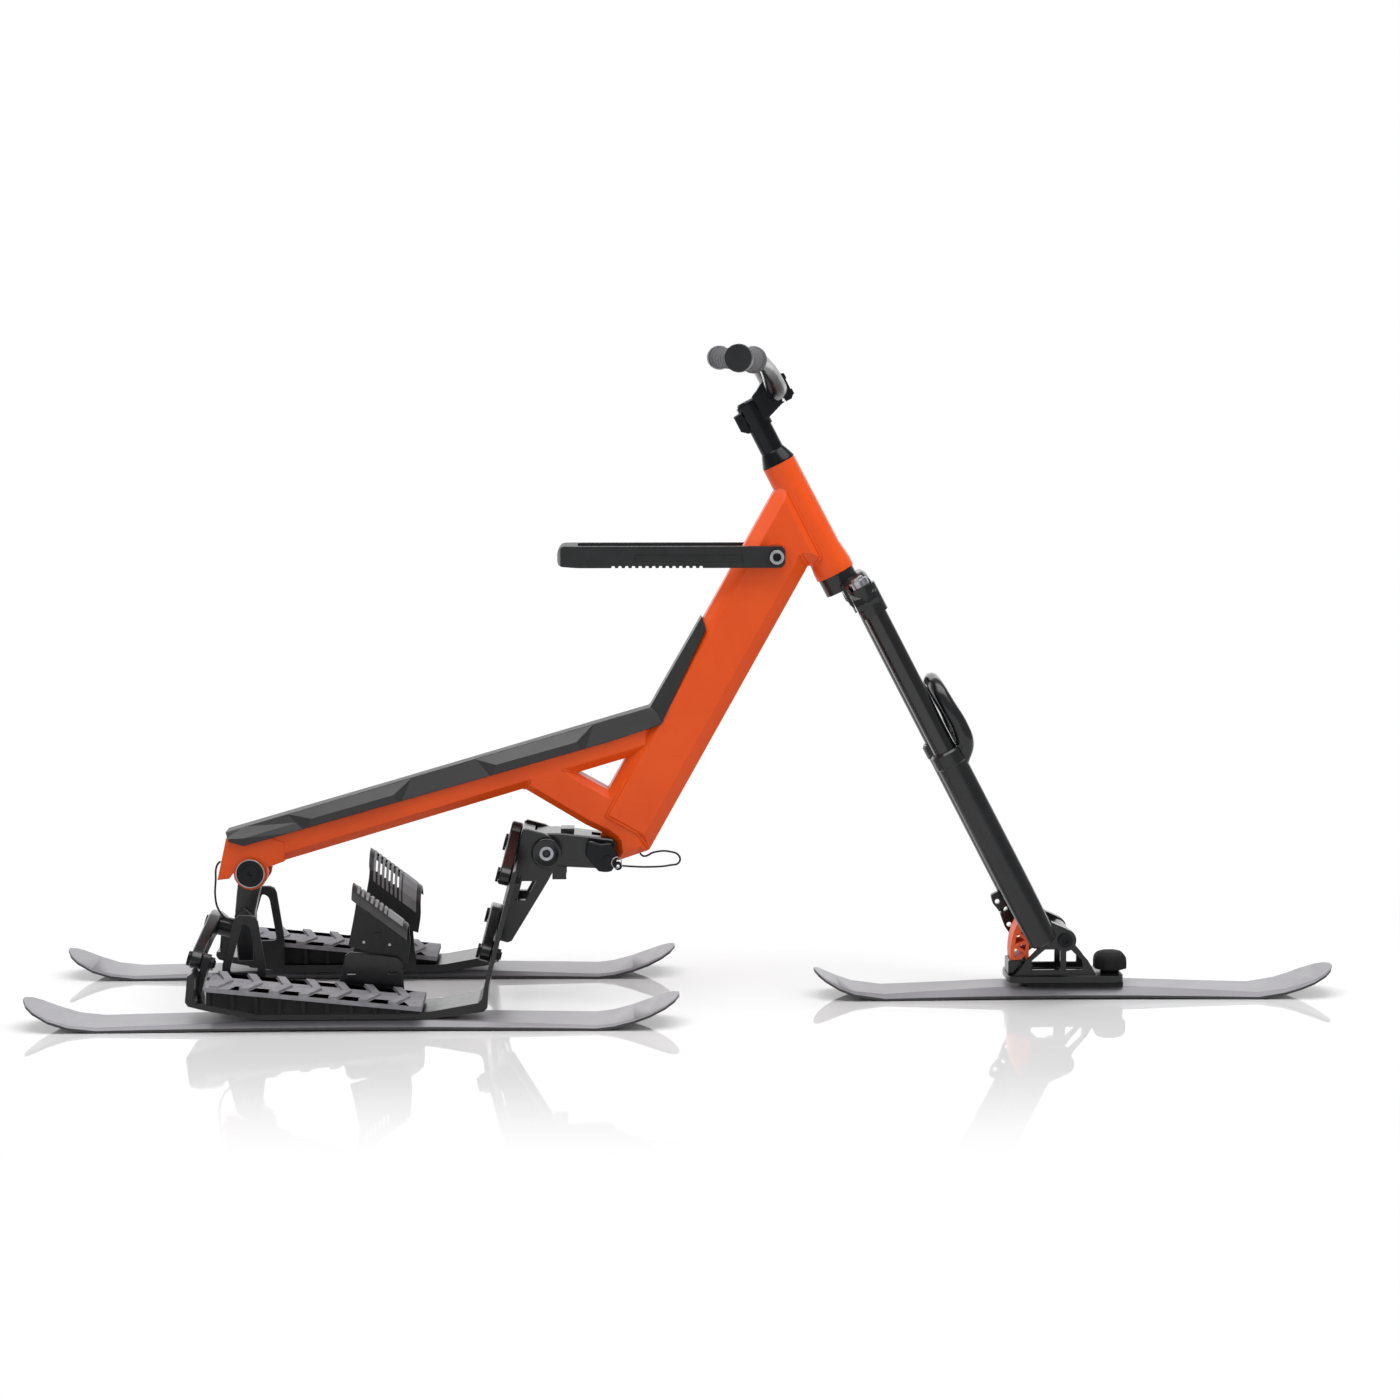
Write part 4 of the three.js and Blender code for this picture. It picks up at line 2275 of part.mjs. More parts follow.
place("fork_lowers", forkLowers(), "black", steeringGroup);
place("fork_tab_rod", tabRod(), "steel", steeringGroup);
place("foot_axle", footAxle(), "black", steeringGroup);

place("ski_foot", skiFoot(), "black");
place("foot_base_pad", footBasePad(), "rubber");
place("elastomer_holder", elastomerHolder(), "black");
place("elastomer_spring", rubberArc(), "elastic");
place("bump_stop", bumperStop(), "rubber");
const frontSeatMiddle = (footX(foot.backX) + footX(foot.frontX)) / 2;
place(
  "front_ski",
  skiSolid({ ...frontSki, tailX: footX(frontSki.tailX) }, frontSeatMiddle - frontSki.seatHalfLength, frontSeatMiddle + frontSki.seatHalfLength),
  "ski",
);

place("front_knuckle", frontKnuckle(), "black");
place("front_mount_arm", frontArm(), "black");
place("hub_axle", cappedAxle(hub.x, hub.z, hubAxle, knuckle.cheekInner + knuckle.cheekWall), "black");
place("rear_post", rearPostSolid(), "black");
place("rear_axle", cappedAxle(rearPivot.x, rearPivot.z, rearAxle, clevis.halfWidth), "black");
place("front_lock_pin", lockPinSolid(), "black");

const wellFloor = knuckleFront - knuckle.nutRecess;
const linkSites = [
  ["front_lower", lean.frontLowX, lean.frontLowZ, link.hubRadius, wellFloor, uprightFront],
  ["front_upper", frontHighX, frontHighZ, link.tallTop, wellFloor, uprightFront],
  ["rear", lean.rearX, lean.rearZ, link.hubRadius, rearNutFace, uprightBack + cradle.lugWall],
];
for (const [name, x, z, hubTop, centreEnd, outerEnd] of linkSites) {
  const group = linkGroup(x, z);
  place(`${name}_link`, crossLink(hubTop), "black", group);
  place(`${name}_centre_pin`, pivotBolt(centreEnd), "steel", group);
  for (const [side, y] of [["right", -lean.crank], ["left", lean.crank]]) {
    const bolt = pivotBolt(outerEnd).translate([0, y, -lean.chevron]);
    place(`${name}_pin_${side}`, bolt, "steel", group);
  }
}

const seatMiddle = (cradle.floorBackX + cradle.floorFrontX) / 2;
const carrierPieces = [
  ["ski", skiSolid(rearSki, seatMiddle - rearSki.seatHalfLength, seatMiddle + rearSki.seatHalfLength)
    .translate([0, halfStance, 0]), "ski"],
  ["ski_cradle", skiCradle(), "black"],
  ["deck_base", deckBase(), "rubber"],
  ["deck_tread", deckTread(), "tread"],
  ["heel_guard", heelGuard(), "black"],
  ["hook_bracket", hookBracket(), "black"],
  ["foot_hook", hookShell(), "grey"],
];
for (const [name, solid, finish] of carrierPieces) {
  place(`${name}_left`, solid, finish);
  place(`${name}_right`, mirrored(solid), finish);
}

place("front_lanyard", lanyard(frontLanyardPoints), "steel");
place("rear_lanyard", lanyard(rearLanyardPoints), "steel");

export default skiBike;
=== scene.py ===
import bmesh
import bpy
import json
import math
import numpy as np
from mathutils import Matrix, Vector


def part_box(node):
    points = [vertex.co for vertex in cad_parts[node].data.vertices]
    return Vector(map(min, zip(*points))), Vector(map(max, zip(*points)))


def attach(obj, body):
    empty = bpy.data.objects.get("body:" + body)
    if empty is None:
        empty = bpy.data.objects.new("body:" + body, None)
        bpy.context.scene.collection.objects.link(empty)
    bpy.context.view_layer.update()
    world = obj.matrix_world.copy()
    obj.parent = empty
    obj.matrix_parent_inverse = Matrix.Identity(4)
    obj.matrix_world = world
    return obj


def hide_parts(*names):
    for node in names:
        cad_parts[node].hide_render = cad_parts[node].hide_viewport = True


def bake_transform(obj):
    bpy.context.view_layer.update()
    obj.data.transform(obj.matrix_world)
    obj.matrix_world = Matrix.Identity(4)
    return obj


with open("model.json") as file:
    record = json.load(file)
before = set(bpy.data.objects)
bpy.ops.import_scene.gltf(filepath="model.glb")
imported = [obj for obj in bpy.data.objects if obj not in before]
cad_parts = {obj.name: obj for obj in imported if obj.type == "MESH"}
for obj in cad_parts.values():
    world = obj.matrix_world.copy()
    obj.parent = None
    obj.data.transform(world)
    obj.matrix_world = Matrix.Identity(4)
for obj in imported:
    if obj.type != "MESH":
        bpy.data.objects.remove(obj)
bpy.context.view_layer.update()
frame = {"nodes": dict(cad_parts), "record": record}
nodes = frame["nodes"]
# sizes are in millimetres where a comment doesn't say metres, and this turns them into metres
mm = 0.001
print("frame loaded")


def addObject(name, data):
    thing = bpy.data.objects.new(name, data)
    bpy.context.scene.collection.objects.link(thing)
    return thing


# camera, fitted to the photograph's viewing angle: place and farthest sight in metres, turns in degrees
cameraSizes = {
    "place": (-0.110, -4.348, 0.967), "tilt": 83.27, "turn": -1.59,
    "lens": 74.9, "sensor": 36, "farthest": 60,
}


def makeCamera():
    data = bpy.data.cameras.new("camera")
    data.lens = cameraSizes["lens"]
    data.sensor_width = cameraSizes["sensor"]
    data.clip_end = cameraSizes["farthest"]
    camera = addObject("camera", data)
    camera.location = cameraSizes["place"]
    camera.rotation_euler = (math.radians(cameraSizes["tilt"]), 0, math.radians(cameraSizes["turn"]))
    bpy.context.scene.camera = camera


makeCamera()

# how fine the noise of each helper below is, and where the first colour gives way to the second
noiseDetail = {"mottle": 3, "uneven": 4, "grain": 2}
patchEdges = (0.35, 0.65)


def linear(code):
    # sRGB hex to the linear values that the shader wants, by the sRGB standard's own numbers
    parts = [int(code[i:i + 2], 16) / 255 for i in (1, 3, 5)]
    return [p / 12.92 if p <= 0.04045 else ((p + 0.055) / 1.055) ** 2.4 for p in parts] + [1]


def addNode(tree, kind, settings=None, links=None):
    node = tree.nodes.new(kind)
    for key, value in (settings or {}).items():
        if key in node.inputs.keys():
            node.inputs[key].default_value = value
        else:
            setattr(node, key, value)
    for key, source in (links or {}).items():
        tree.links.new(source, node.inputs[key])
    return node


def startMaterial(name, settings):
    # a material, and the surface that the helpers below work on: its nodes, its shader and object coordinates
    material = bpy.data.materials.new(name)
    material.use_nodes = True
    tree = material.node_tree
    shader = tree.nodes["Principled BSDF"]
    for key, value in settings.items():
        shader.inputs[key].default_value = value
    place = addNode(tree, "ShaderNodeTexCoord")
    return material, (tree, shader, place.outputs["Object"])


def addNoise(surface, size, kind):
    tree, _, place = surface
    settings = {"Scale": 1 / (size * mm), "Detail": noiseDetail[kind]}
    return addNode(tree, "ShaderNodeTexNoise", settings, {"Vector": place}).outputs["Fac"]


def mottle(surface, first, second, size):
    # two close colours in soft patches
    tree, shader, _ = surface
    ramp = addNode(tree, "ShaderNodeValToRGB", None, {"Fac": addNoise(surface, size, "mottle")})
    for stop, position, colour in zip(ramp.color_ramp.elements, patchEdges, (first, second)):
        stop.position = position
        stop.color = linear(colour)
    tree.links.new(ramp.outputs["Color"], shader.inputs["Base Color"])
    return ramp.outputs["Color"]


def uneven(surface, low, high, size):
    # roughness that wanders between two values
    tree, shader, _ = surface
    span = addNode(tree, "ShaderNodeMapRange", {"To Min": low, "To Max": high},
                   {"Value": addNoise(surface, size, "uneven")})
    tree.links.new(span.outputs["Result"], shader.inputs["Roughness"])


def grain(surface, size, height, strength):
    # fine raised grain
    tree, shader, _ = surface
    bump = addNode(tree, "ShaderNodeBump", {"Strength": strength, "Distance": height * mm},
                   {"Height": addNoise(surface, size, "grain")})
    tree.links.new(bump.outputs["Normal"], shader.inputs["Normal"])


def satinOrangePaint():
    # powder coat on welded aluminium: deep even colour, soft gloss, slight orange peel
    material, surface = startMaterial("satinOrangePaint", {"IOR": 1.5, "Specular IOR Level": 0.35})
    mottle(surface, "#DA4A08", "#DF4F0C", size=60)
    uneven(surface, low=0.36, high=0.46, size=25)
    grain(surface, size=1.6, height=0.03, strength=0.25)
    return material


def satinBlackCoat():
    # black coat over blasted aluminium: satin, with a fine grain
    material, surface = startMaterial("satinBlackCoat", {"IOR": 1.5, "Specular IOR Level": 0.5})
    mottle(surface, "#111214", "#17181A", size=30)
    uneven(surface, low=0.18, high=0.28, size=12)
    grain(surface, size=0.9, height=0.03, strength=0.2)
    return material


def mattAnodised():
    # bead blasted and anodised aluminium: metal with a dark skin
    material, surface = startMaterial("mattAnodised", {"Metallic": 0.6, "Specular IOR Level": 0.4})
    mottle(surface, "#15161A", "#1B1C1F", size=30)
    uneven(surface, low=0.2, high=0.3, size=10)
    grain(surface, size=0.7, height=0.02, strength=0.2)
    return material


def glossBlackTube():
    # hard anodised and polished tube: glossy, with faint oil marks
    settings = {"IOR": 1.5, "Coat Weight": 0.3, "Coat Roughness": 0.04}
    material, surface = startMaterial("glossBlackTube", settings)
    mottle(surface, "#08090A", "#0C0D0F", size=40)
    uneven(surface, low=0.1, high=0.18, size=30)
    return material


def mouldedNylon():
    # glass filled nylon from an etched tool: matte, slightly uneven
    material, surface = startMaterial("mouldedNylon", {"IOR": 1.53, "Specular IOR Level": 0.4})
    mottle(surface, "#131416", "#1A1B1D", size=25)
    uneven(surface, low=0.38, high=0.5, size=15)
    grain(surface, size=0.8, height=0.06, strength=0.4)
    return material


def paintedLitRibNylon():
    # the nylon in a light grey for the ribs on the bends of the hooks: painted light, where the overhead
    # light falls on their upward faces
    material, surface = startMaterial("paintedLitRibNylon", {"IOR": 1.53})
    mottle(surface, "#6C6D6F", "#76777A", size=25)
    uneven(surface, low=0.5, high=0.62, size=15)
    grain(surface, size=0.8, height=0.05, strength=0.35)
    return material


def blackRubber():
    # moulded rubber: dull, with a fine pebble
    material, surface = startMaterial("blackRubber", {"IOR": 1.52, "Specular IOR Level": 0.3})
    mottle(surface, "#151516", "#1C1C1D", size=20)
    uneven(surface, low=0.72, high=0.85, size=12)
    grain(surface, size=1.1, height=0.1, strength=0.5)
    return material


def greyTreadRubber():
    # dusty grey rubber tread
    material, surface = startMaterial("greyTreadRubber", {"IOR": 1.52})
    mottle(surface, "#79787D", "#88878C", size=18)
    uneven(surface, low=0.7, high=0.85, size=14)
    grain(surface, size=1.3, height=0.12, strength=0.5)
    return material


def greyGripRubber():
    # soft grip rubber worn to a mid grey
    material, surface = startMaterial("greyGripRubber", {"IOR": 1.5, "Specular IOR Level": 0.3})
    mottle(surface, "#4A4A4D", "#545457", size=12)
    uneven(surface, low=0.62, high=0.75, size=10)
    grain(surface, size=1.0, height=0.1, strength=0.5)
    return material


def padFoam():
    # skinned foam: charcoal, with a soft low sheen and a leather like pebble
    material, surface = startMaterial("padFoam", {"IOR": 1.5, "Specular IOR Level": 0.7})
    mottle(surface, "#111113", "#161618", size=35)
    uneven(surface, low=0.42, high=0.5, size=20)
    grain(surface, size=1.4, height=0.12, strength=0.5)
    return material


def skiLaminate():
    # satin topsheet over a core: warm grey on top, with a dark steel edge round the sides
    settings = {"IOR": 1.5, "Coat Weight": 0.2, "Coat Roughness": 0.2}
    material, surface = startMaterial("skiLaminate", settings)
    tree, shader, _ = surface
    top = mottle(surface, "#7E7C82", "#87858B", size=120)
    uneven(surface, low=0.34, high=0.46, size=40)
    facing = addNode(tree, "ShaderNodeNewGeometry")
    parts = addNode(tree, "ShaderNodeSeparateXYZ", None, {"Vector": facing.outputs["True Normal"]})
    upwards = addNode(tree, "ShaderNodeMapRange", {"From Min": 0.25, "From Max": 0.5},
                      {"Value": parts.outputs["Z"]})
    # inputs 0, 6 and 7 of this node are its factor and its two colours, and output 2 is the mixed one
    mix = addNode(tree, "ShaderNodeMix", {"data_type": "RGBA"})
    tree.links.new(upwards.outputs["Result"], mix.inputs[0])
    mix.inputs[6].default_value = linear("#3A3A3C")
    tree.links.new(top, mix.inputs[7])
    tree.links.new(mix.outputs[2], shader.inputs["Base Color"])
    return material


def orangeElastomer():
    # cast polyurethane: saturated, a little translucent
    settings = {"IOR": 1.5, "Subsurface Weight": 0.1, "Subsurface Scale": 4 * mm}
    material, surface = startMaterial("orangeElastomer", settings)
    mottle(surface, "#F0541A", "#F7641F", size=15)
    uneven(surface, low=0.4, high=0.52, size=10)
    return material


def turnedSteel():
    # plain machined steel: bright with fine tool marks
    material, surface = startMaterial("turnedSteel", {"Metallic": 1})
    mottle(surface, "#9EA0A4", "#B4B6BA", size=8)
    uneven(surface, low=0.24, high=0.38, size=4)
    return material


# the hook_grey finish is painted light: a light grey on the upward faces of the hooks' ribs
materials = {
    "orange_frame": satinOrangePaint(), "pad": padFoam(), "black_casting": satinBlackCoat(),
    "black_metal": mattAnodised(), "stanchion": glossBlackTube(), "black_plastic": mouldedNylon(),
    "hook_grey": paintedLitRibNylon(), "rubber": blackRubber(), "tread": greyTreadRubber(), "ski": skiLaminate(),
    "elastomer": orangeElastomer(), "steel": turnedSteel(),
}
slotOf = {part["node"]: part["material_slot"] for part in frame["record"]["subparts"]}
bodyOf = {node: body for body, members in frame["record"]["behaviour"]["bodies"].items() for node in members}
print("materials made")


def shownMesh(piece):
    # a mesh of the piece as its modifiers or its curve show it
    return bpy.data.meshes.new_from_object(piece.evaluated_get(bpy.context.evaluated_depsgraph_get()))


def roundCurve(name, radius, sides, slot):
    # an empty curve whose lines show as round tubes with closed ends
    curve = bpy.data.curves.new(name, "CURVE")
    curve.dimensions = "3D"
    curve.bevel_depth = radius
    curve.bevel_resolution = sides
    curve.use_fill_caps = True
    curve.materials.append(materials[slot])
    return curve


def smoothLine(curve, points, steps):
    # a smooth line through the points
    spline = curve.splines.new("BEZIER")
    spline.resolution_u = steps
    spline.bezier_points.add(len(points) - 1)
    for knot, point in zip(spline.bezier_points, points):
        knot.co = point
        knot.handle_left_type = knot.handle_right_type = "AUTO"
    return spline


# wire lanyards, in metres, along the same listed points as the solids
lanyardSizes = {"diameter": 0.003, "frontLength": 0.1657, "rearLength": 0.1206, "sides": 3, "steps": 10}
frontLanyardPoints = [
    (-0.080, -0.022, 0.224), (-0.075, -0.027, 0.221), (-0.058, -0.038, 0.229), (-0.036, -0.046, 0.231),
    (-0.022, -0.050, 0.225), (-0.022, -0.053, 0.216), (-0.036, -0.056, 0.212), (-0.066, -0.058, 0.210),
    (-0.094, -0.056, 0.2105), (-0.1069, -0.0545, 0.2112),
]
rearLanyardPoints = [
    (-0.7083, -0.026, 0.216), (-0.713, -0.028, 0.211), (-0.7155, -0.031, 0.187), (-0.716, -0.033, 0.161),
    (-0.712, -0.034, 0.145), (-0.701, -0.033, 0.130), (-0.689, -0.0315, 0.121), (-0.679, -0.0255, 0.117),
]


def makeLanyard(name, node, points, farBody=None):
    curve = roundCurve(name, lanyardSizes["diameter"] / 2, lanyardSizes["sides"], "black_plastic")
    smoothLine(curve, points, lanyardSizes["steps"])
    lanyard = addObject(name, curve)
    path = None
    if farBody:
        # with a far body given, it becomes a tube of faces with its place baked in, attached to no body
        tube = shownMesh(lanyard)
        curve.bevel_depth = 0
        path = [tuple(vertex.co) for vertex in shownMesh(lanyard).vertices]
        bpy.data.objects.remove(lanyard)
        tube.shade_smooth()
        lanyard = addObject(name, tube)
    else:
        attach(lanyard, "frame")
    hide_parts(node)
    if farBody:
        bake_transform(lanyard)


makeLanyard("frontLanyard", "front_lanyard", frontLanyardPoints, "lock_pin")
makeLanyard("rearLanyard", "rear_lanyard", rearLanyardPoints)
print("lanyards made")

# finishes that differ from the record's slot where the photograph shows a darker piece
dressedSlots = {"hub_axle": "black_metal", "lift_loop_axle": "black_metal", "rear_axle": "black_metal",
                "foot_hook_right": "black_plastic", "foot_hook_left": "black_plastic"}
for name in nodes:
    if "_pin" in name or name == "fork_tab_rod":
        dressedSlots[name] = "black_metal"
gripRubber = greyGripRubber()
dressedMaterials = {"grip_right": gripRubber, "grip_left": gripRubber}

# every rigid solid gets its finish on a merged copy: flats joined, rings made round, edges eased. The width
# is of the bevel, and the angles in degrees are where a shape counts as an edge and as flat
easing = {"width": 0.8, "segments": 2, "angle": 32, "levels": 2, "flat": 0.1, "rounds": 3}
easedWidths = {"main_frame": 1.2, "lift_loop": 1.6, "ski_foot": 1.2}
roundPieces = (
    "handlebar", "grip_", "headset_cone", "stem", "stanchion", "crown_adjuster", "fork_lowers", "fork_crown",
    "foot_axle", "fork_tab_rod", "foot_hook", "lift_loop_axle", "hub_axle", "rear_axle", "front_lock_pin",
    "lower_headset", "upper_headset", "front_lower_pin", "front_upper_pin", "rear_pin", "front_lower_centre",
    "front_upper_centre", "rear_centre",
)
# solids that have code of their own
madeApart = ("front_lanyard", "rear_lanyard", "frame_pad", "bump_stop")
# corners of a solid that are closer than this are one, and so are points of a new shape, in metres
sameCorner = 2e-5
samePoint = 1e-6


def workOn(mesh):
    work = bmesh.new()
    work.from_mesh(mesh)
    return work


def newMesh(name, work):
    mesh = bpy.data.meshes.new(name)
    work.to_mesh(mesh)
    work.free()
    return mesh


def allOf(work):
    return list(work.verts) + list(work.edges) + list(work.faces)


def joinFlats(work, angle):
    # faces that meet at less than the angle become one
    bmesh.ops.dissolve_limit(work, angle_limit=math.radians(angle), verts=work.verts, edges=work.edges)


def smoothFaces(work):
    for face in work.faces:
        face.smooth = True


def sharpEdges(work, angle=easing["angle"]):
    # an edge is shaded sharp where its faces meet at more than the angle
    for edge in work.edges:
        edge.smooth = edge.is_manifold and edge.calc_face_angle(0) < math.radians(angle)


def addBoolean(piece, operation, other):
    boolean = piece.modifiers.new("boolean", "BOOLEAN")
    boolean.operation = operation
    boolean.object = other


def middleOf(node):
    low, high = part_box(node)
    return (Vector(low) + Vector(high)) / 2


# the fork's arch, in the steering axis frame
arch = {
    "headX": 213.5, "headZ": 645, "lean": 27.5, "sides": 6, "steps": 20,
    # boxes that clear the plain arch: back, reach forwards and to each side, low and high end
    "boxes": ((47.4, 90, -331, -190), (20, 90, -304.6, -190)),
    # half of the smooth one: forwards, sideways, along the axis and radius
    "path": ((37, 65, -330, 11), (52.5, 67, -309, 13.5), (57.5, 68, -284, 12.5), (56, 64, -246, 11.5),
             (55, 49, -222, 11.5), (55, 22, -214, 11.5)),
}
steering = (Matrix.Translation(Vector((arch["headX"], 0, arch["headZ"])) * mm)
            @ Matrix.Rotation(math.radians(-arch["lean"]), 4, "Y"))


def withoutArch(name):
    # the plain arch is taken off a copy of the solid
    rough = addObject("roughLowers", nodes[name].data.copy())
    spares = [rough]
    for back, reach, low, high in arch["boxes"]:
        work = bmesh.new()
        bmesh.ops.create_cube(work, size=1)
        bmesh.ops.scale(work, verts=work.verts, vec=(reach * mm, 2 * reach * mm, (high - low) * mm))
        middle = ((back + reach / 2) * mm, 0, (low + high) / 2 * mm)
        bmesh.ops.translate(work, verts=work.verts, vec=middle)
        bmesh.ops.transform(work, matrix=steering, verts=work.verts)
        room = addObject("archRoom", newMesh("archRoom", work))
        addBoolean(rough, "DIFFERENCE", room)
        spares.append(room)
    mesh = shownMesh(rough)
    for spare in spares:
        bpy.data.objects.remove(spare)
    return mesh


def makeArch():
    half = arch["path"]
    path = list(half) + [(x, -y, z, radius) for x, y, z, radius in reversed(half)]
    # a knot's radius is in millimetres, so the curve's own one is a single millimetre
    curve = roundCurve("forkArch", mm, arch["sides"], "black_casting")
    spline = smoothLine(curve, [steering @ (Vector(step[:3]) * mm) for step in path], arch["steps"])
    spline.radius_interpolation = "CARDINAL"
    for knot, step in zip(spline.bezier_points, path):
        knot.radius = step[3]
    piece = addObject("forkArch", curve)
    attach(piece, bodyOf["fork_lowers"])


def mergedCopy(name):
    mesh = withoutArch(name) if name == "fork_lowers" else nodes[name].data.copy()
    mesh.materials.clear()
    mesh.materials.append(materials[slotOf[name]])
    work = workOn(mesh)
    bmesh.ops.remove_doubles(work, verts=work.verts, dist=sameCorner)
    joinFlats(work, easing["flat"])
    hollow = [face for face in work.faces if not all(loop.is_convex for loop in face.loops)]
    bmesh.ops.triangulate(work, faces=hollow)
    smoothFaces(work)
    sharpEdges(work)
    crease = work.edges.layers.float.new("crease_edge")
    for edge in work.edges:
        edge[crease] = 0 if edge.smooth else 1
    work.to_mesh(mesh)
    work.free()
    return mesh


def holdShape(piece):
    # subdivision draws rings inwards, so the cage moves out until the surface passes through the solid's
    # own corners
    corners = [vertex.co.copy() for vertex in piece.data.vertices]
    for _ in range(easing["rounds"]):
        shown = piece.evaluated_get(bpy.context.evaluated_depsgraph_get()).data.vertices
        steps = [corner - shown[i].co for i, corner in enumerate(corners)]
        for vertex, step in zip(piece.data.vertices, steps):
            vertex.co += step
        piece.data.update()


def easeEdges(piece, width, angle=easing["angle"]):
    bevel = piece.modifiers.new("easedEdges", "BEVEL")
    bevel.width = width * mm
    bevel.segments = easing["segments"]
    bevel.limit_method = "ANGLE"
    bevel.angle_limit = math.radians(angle)
    bevel.harden_normals = True


def showPiece(name, mesh, body):
    piece = addObject(name, mesh)
    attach(piece, body)
    return piece


def meshPiece(name, work, body, slot):
    # closes a bmesh into a shown piece with its normals outwards
    bmesh.ops.recalc_face_normals(work, faces=work.faces)
    mesh = newMesh(name, work)
    mesh.materials.append(materials[slot])
    return showPiece(name, mesh, body)


# how far out from the axle the corners of the lift loop's front ends are cut off
loopEndReach = 16.6


def trimLoopEnds(mesh):
    # this leaves half an octagon round the axle at each end
    work = workOn(mesh)
    for way in (1, -1):
        slope = Vector((1, 0, way)).normalized()
        point = middleOf("lift_loop_axle") + slope * loopEndReach * mm
        cut = bmesh.ops.bisect_plane(work, geom=allOf(work), dist=samePoint, plane_co=point, plane_no=slope,
                                     clear_outer=True)["geom_cut"]
        bmesh.ops.holes_fill(work, edges=[item for item in cut if isinstance(item, bmesh.types.BMEdge)])
    sharpEdges(work)
    work.to_mesh(mesh)
    work.free()


def dressNode(name):
    slot = dressedSlots.get(name, slotOf[name])
    mesh = mergedCopy(name)
    if name == "lift_loop":
        trimLoopEnds(mesh)
    mesh.materials[0] = dressedMaterials.get(name, materials[slot])
    piece = showPiece("dressed_" + name, mesh, bodyOf[name])
    if name.startswith(roundPieces):
        rounding = piece.modifiers.new("rounding", "SUBSURF")
        rounding.levels = rounding.render_levels = easing["levels"]
        holdShape(piece)
    easeEdges(piece, easedWidths.get(name, easing["width"]))
    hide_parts(name)


for name in nodes:
    if name not in madeApart:
        dressNode(name)
makeArch()
print("solids dressed")

# weld beads where the tubes of the frame meet
weldSizes = {
    # a bead follows inner corners sharper than the angle in degrees, off the centre plane and long enough
    "radius": 2.6, "sides": 2, "angle": 24, "offCentre": 2, "leastLength": 18,
    # low and high x and z of each group of joints
    "zones": ((140, 260, 640, 830), (-270, -60, 235, 372)),
}


def isWelded(edge):
    if not edge.is_manifold or edge.calc_face_angle_signed(0) >= -math.radians(weldSizes["angle"]):
        return False
    middle = (edge.verts[0].co + edge.verts[1].co) / 2 / mm
    near = any(lowX < middle.x < highX and lowZ < middle.z < highZ
               for lowX, highX, lowZ, highZ in weldSizes["zones"])
    return near and abs(middle.y) > weldSizes["offCentre"]


def weldLines():
    # chains of inner corners on the frame, as lists of points
    work = workOn(mergedCopy("main_frame"))
    corners = [edge for edge in work.edges if isWelded(edge)]
    lines = []
    while corners:
        chain = list(corners.pop().verts)
        for end in (0, -1):
            while True:
                onward = [edge for edge in chain[end].link_edges if edge in corners]
                if not onward:
                    break
                corners.remove(onward[0])
                chain.insert(0 if end == 0 else len(chain), onward[0].other_vert(chain[end]))
        points = [vertex.co.copy() for vertex in chain]
        if sum((b - a).length for a, b in zip(points, points[1:])) > weldSizes["leastLength"] * mm:
            lines.append(points)
    work.free()
    return lines


def makeWelds():
    curve = roundCurve("weldBeads", weldSizes["radius"] * mm, weldSizes["sides"], "orange_frame")
    lines = weldLines()
    for points in lines:
        spline = curve.splines.new("POLY")
        spline.points.add(len(points) - 1)
        for knot, point in zip(spline.points, points):
            knot.co = (*point, 1)
    beads = addObject("weldBeads", curve)
    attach(beads, "frame")
    print("weld lines", len(lines))


makeWelds()

# moulded foam pad: a flat top with sloping sides, and two raised facets on each side
padSizes = {
    "sides": 6, "topHalf": 22, "lowHalf": 37.8, "raisedFrom": 38, "edge": 1.3,
    # degrees: how far from flat one face may be, where two count as flat and where they meet in an edge
    "warp": 2, "flat": 0.6, "edgeAngle": 9,
}
padStations = [
    # x and z of the top edge, of the line along the side and of the low edge, and how far out that line is
    ((-701.5, 260), (-699.5, 251), (-697.5, 242), 36),
    ((-672, 268), (-672.5, 252), (-673, 235.5), 36),
    ((-608, 286.2), (-594, 274.5), (-580, 262.5), 29.9),
    ((-570, 297), (-570, 281.5), (-570, 265.3), 38.5),
    ((-449, 332), (-449, 316), (-449, 299.6), 38.5),
    ((-422, 340), (-430, 321.5), (-438, 302.8), 29.9),
    ((-326, 368), (-313, 355), (-300, 341.8), 29.9),
    ((-294, 377.6), (-294, 361.5), (-294, 343.5), 38.5),
    ((-176, 412.6), (-176, 394.5), (-176, 377), 38.5),
    ((-149, 421), (-156, 401), (-163, 380.7), 29.9),
    ((-140, 423.8), (-131, 408), (-122.5, 392), 29.9),
    ((-80, 441.6), (-70, 427), (-62, 412.5), 29.9),
    ((-64, 447), (-53, 436), (-44, 418), 29.9),
    ((14, 583.5), (19, 573), (23, 562.5), 29.9),
]


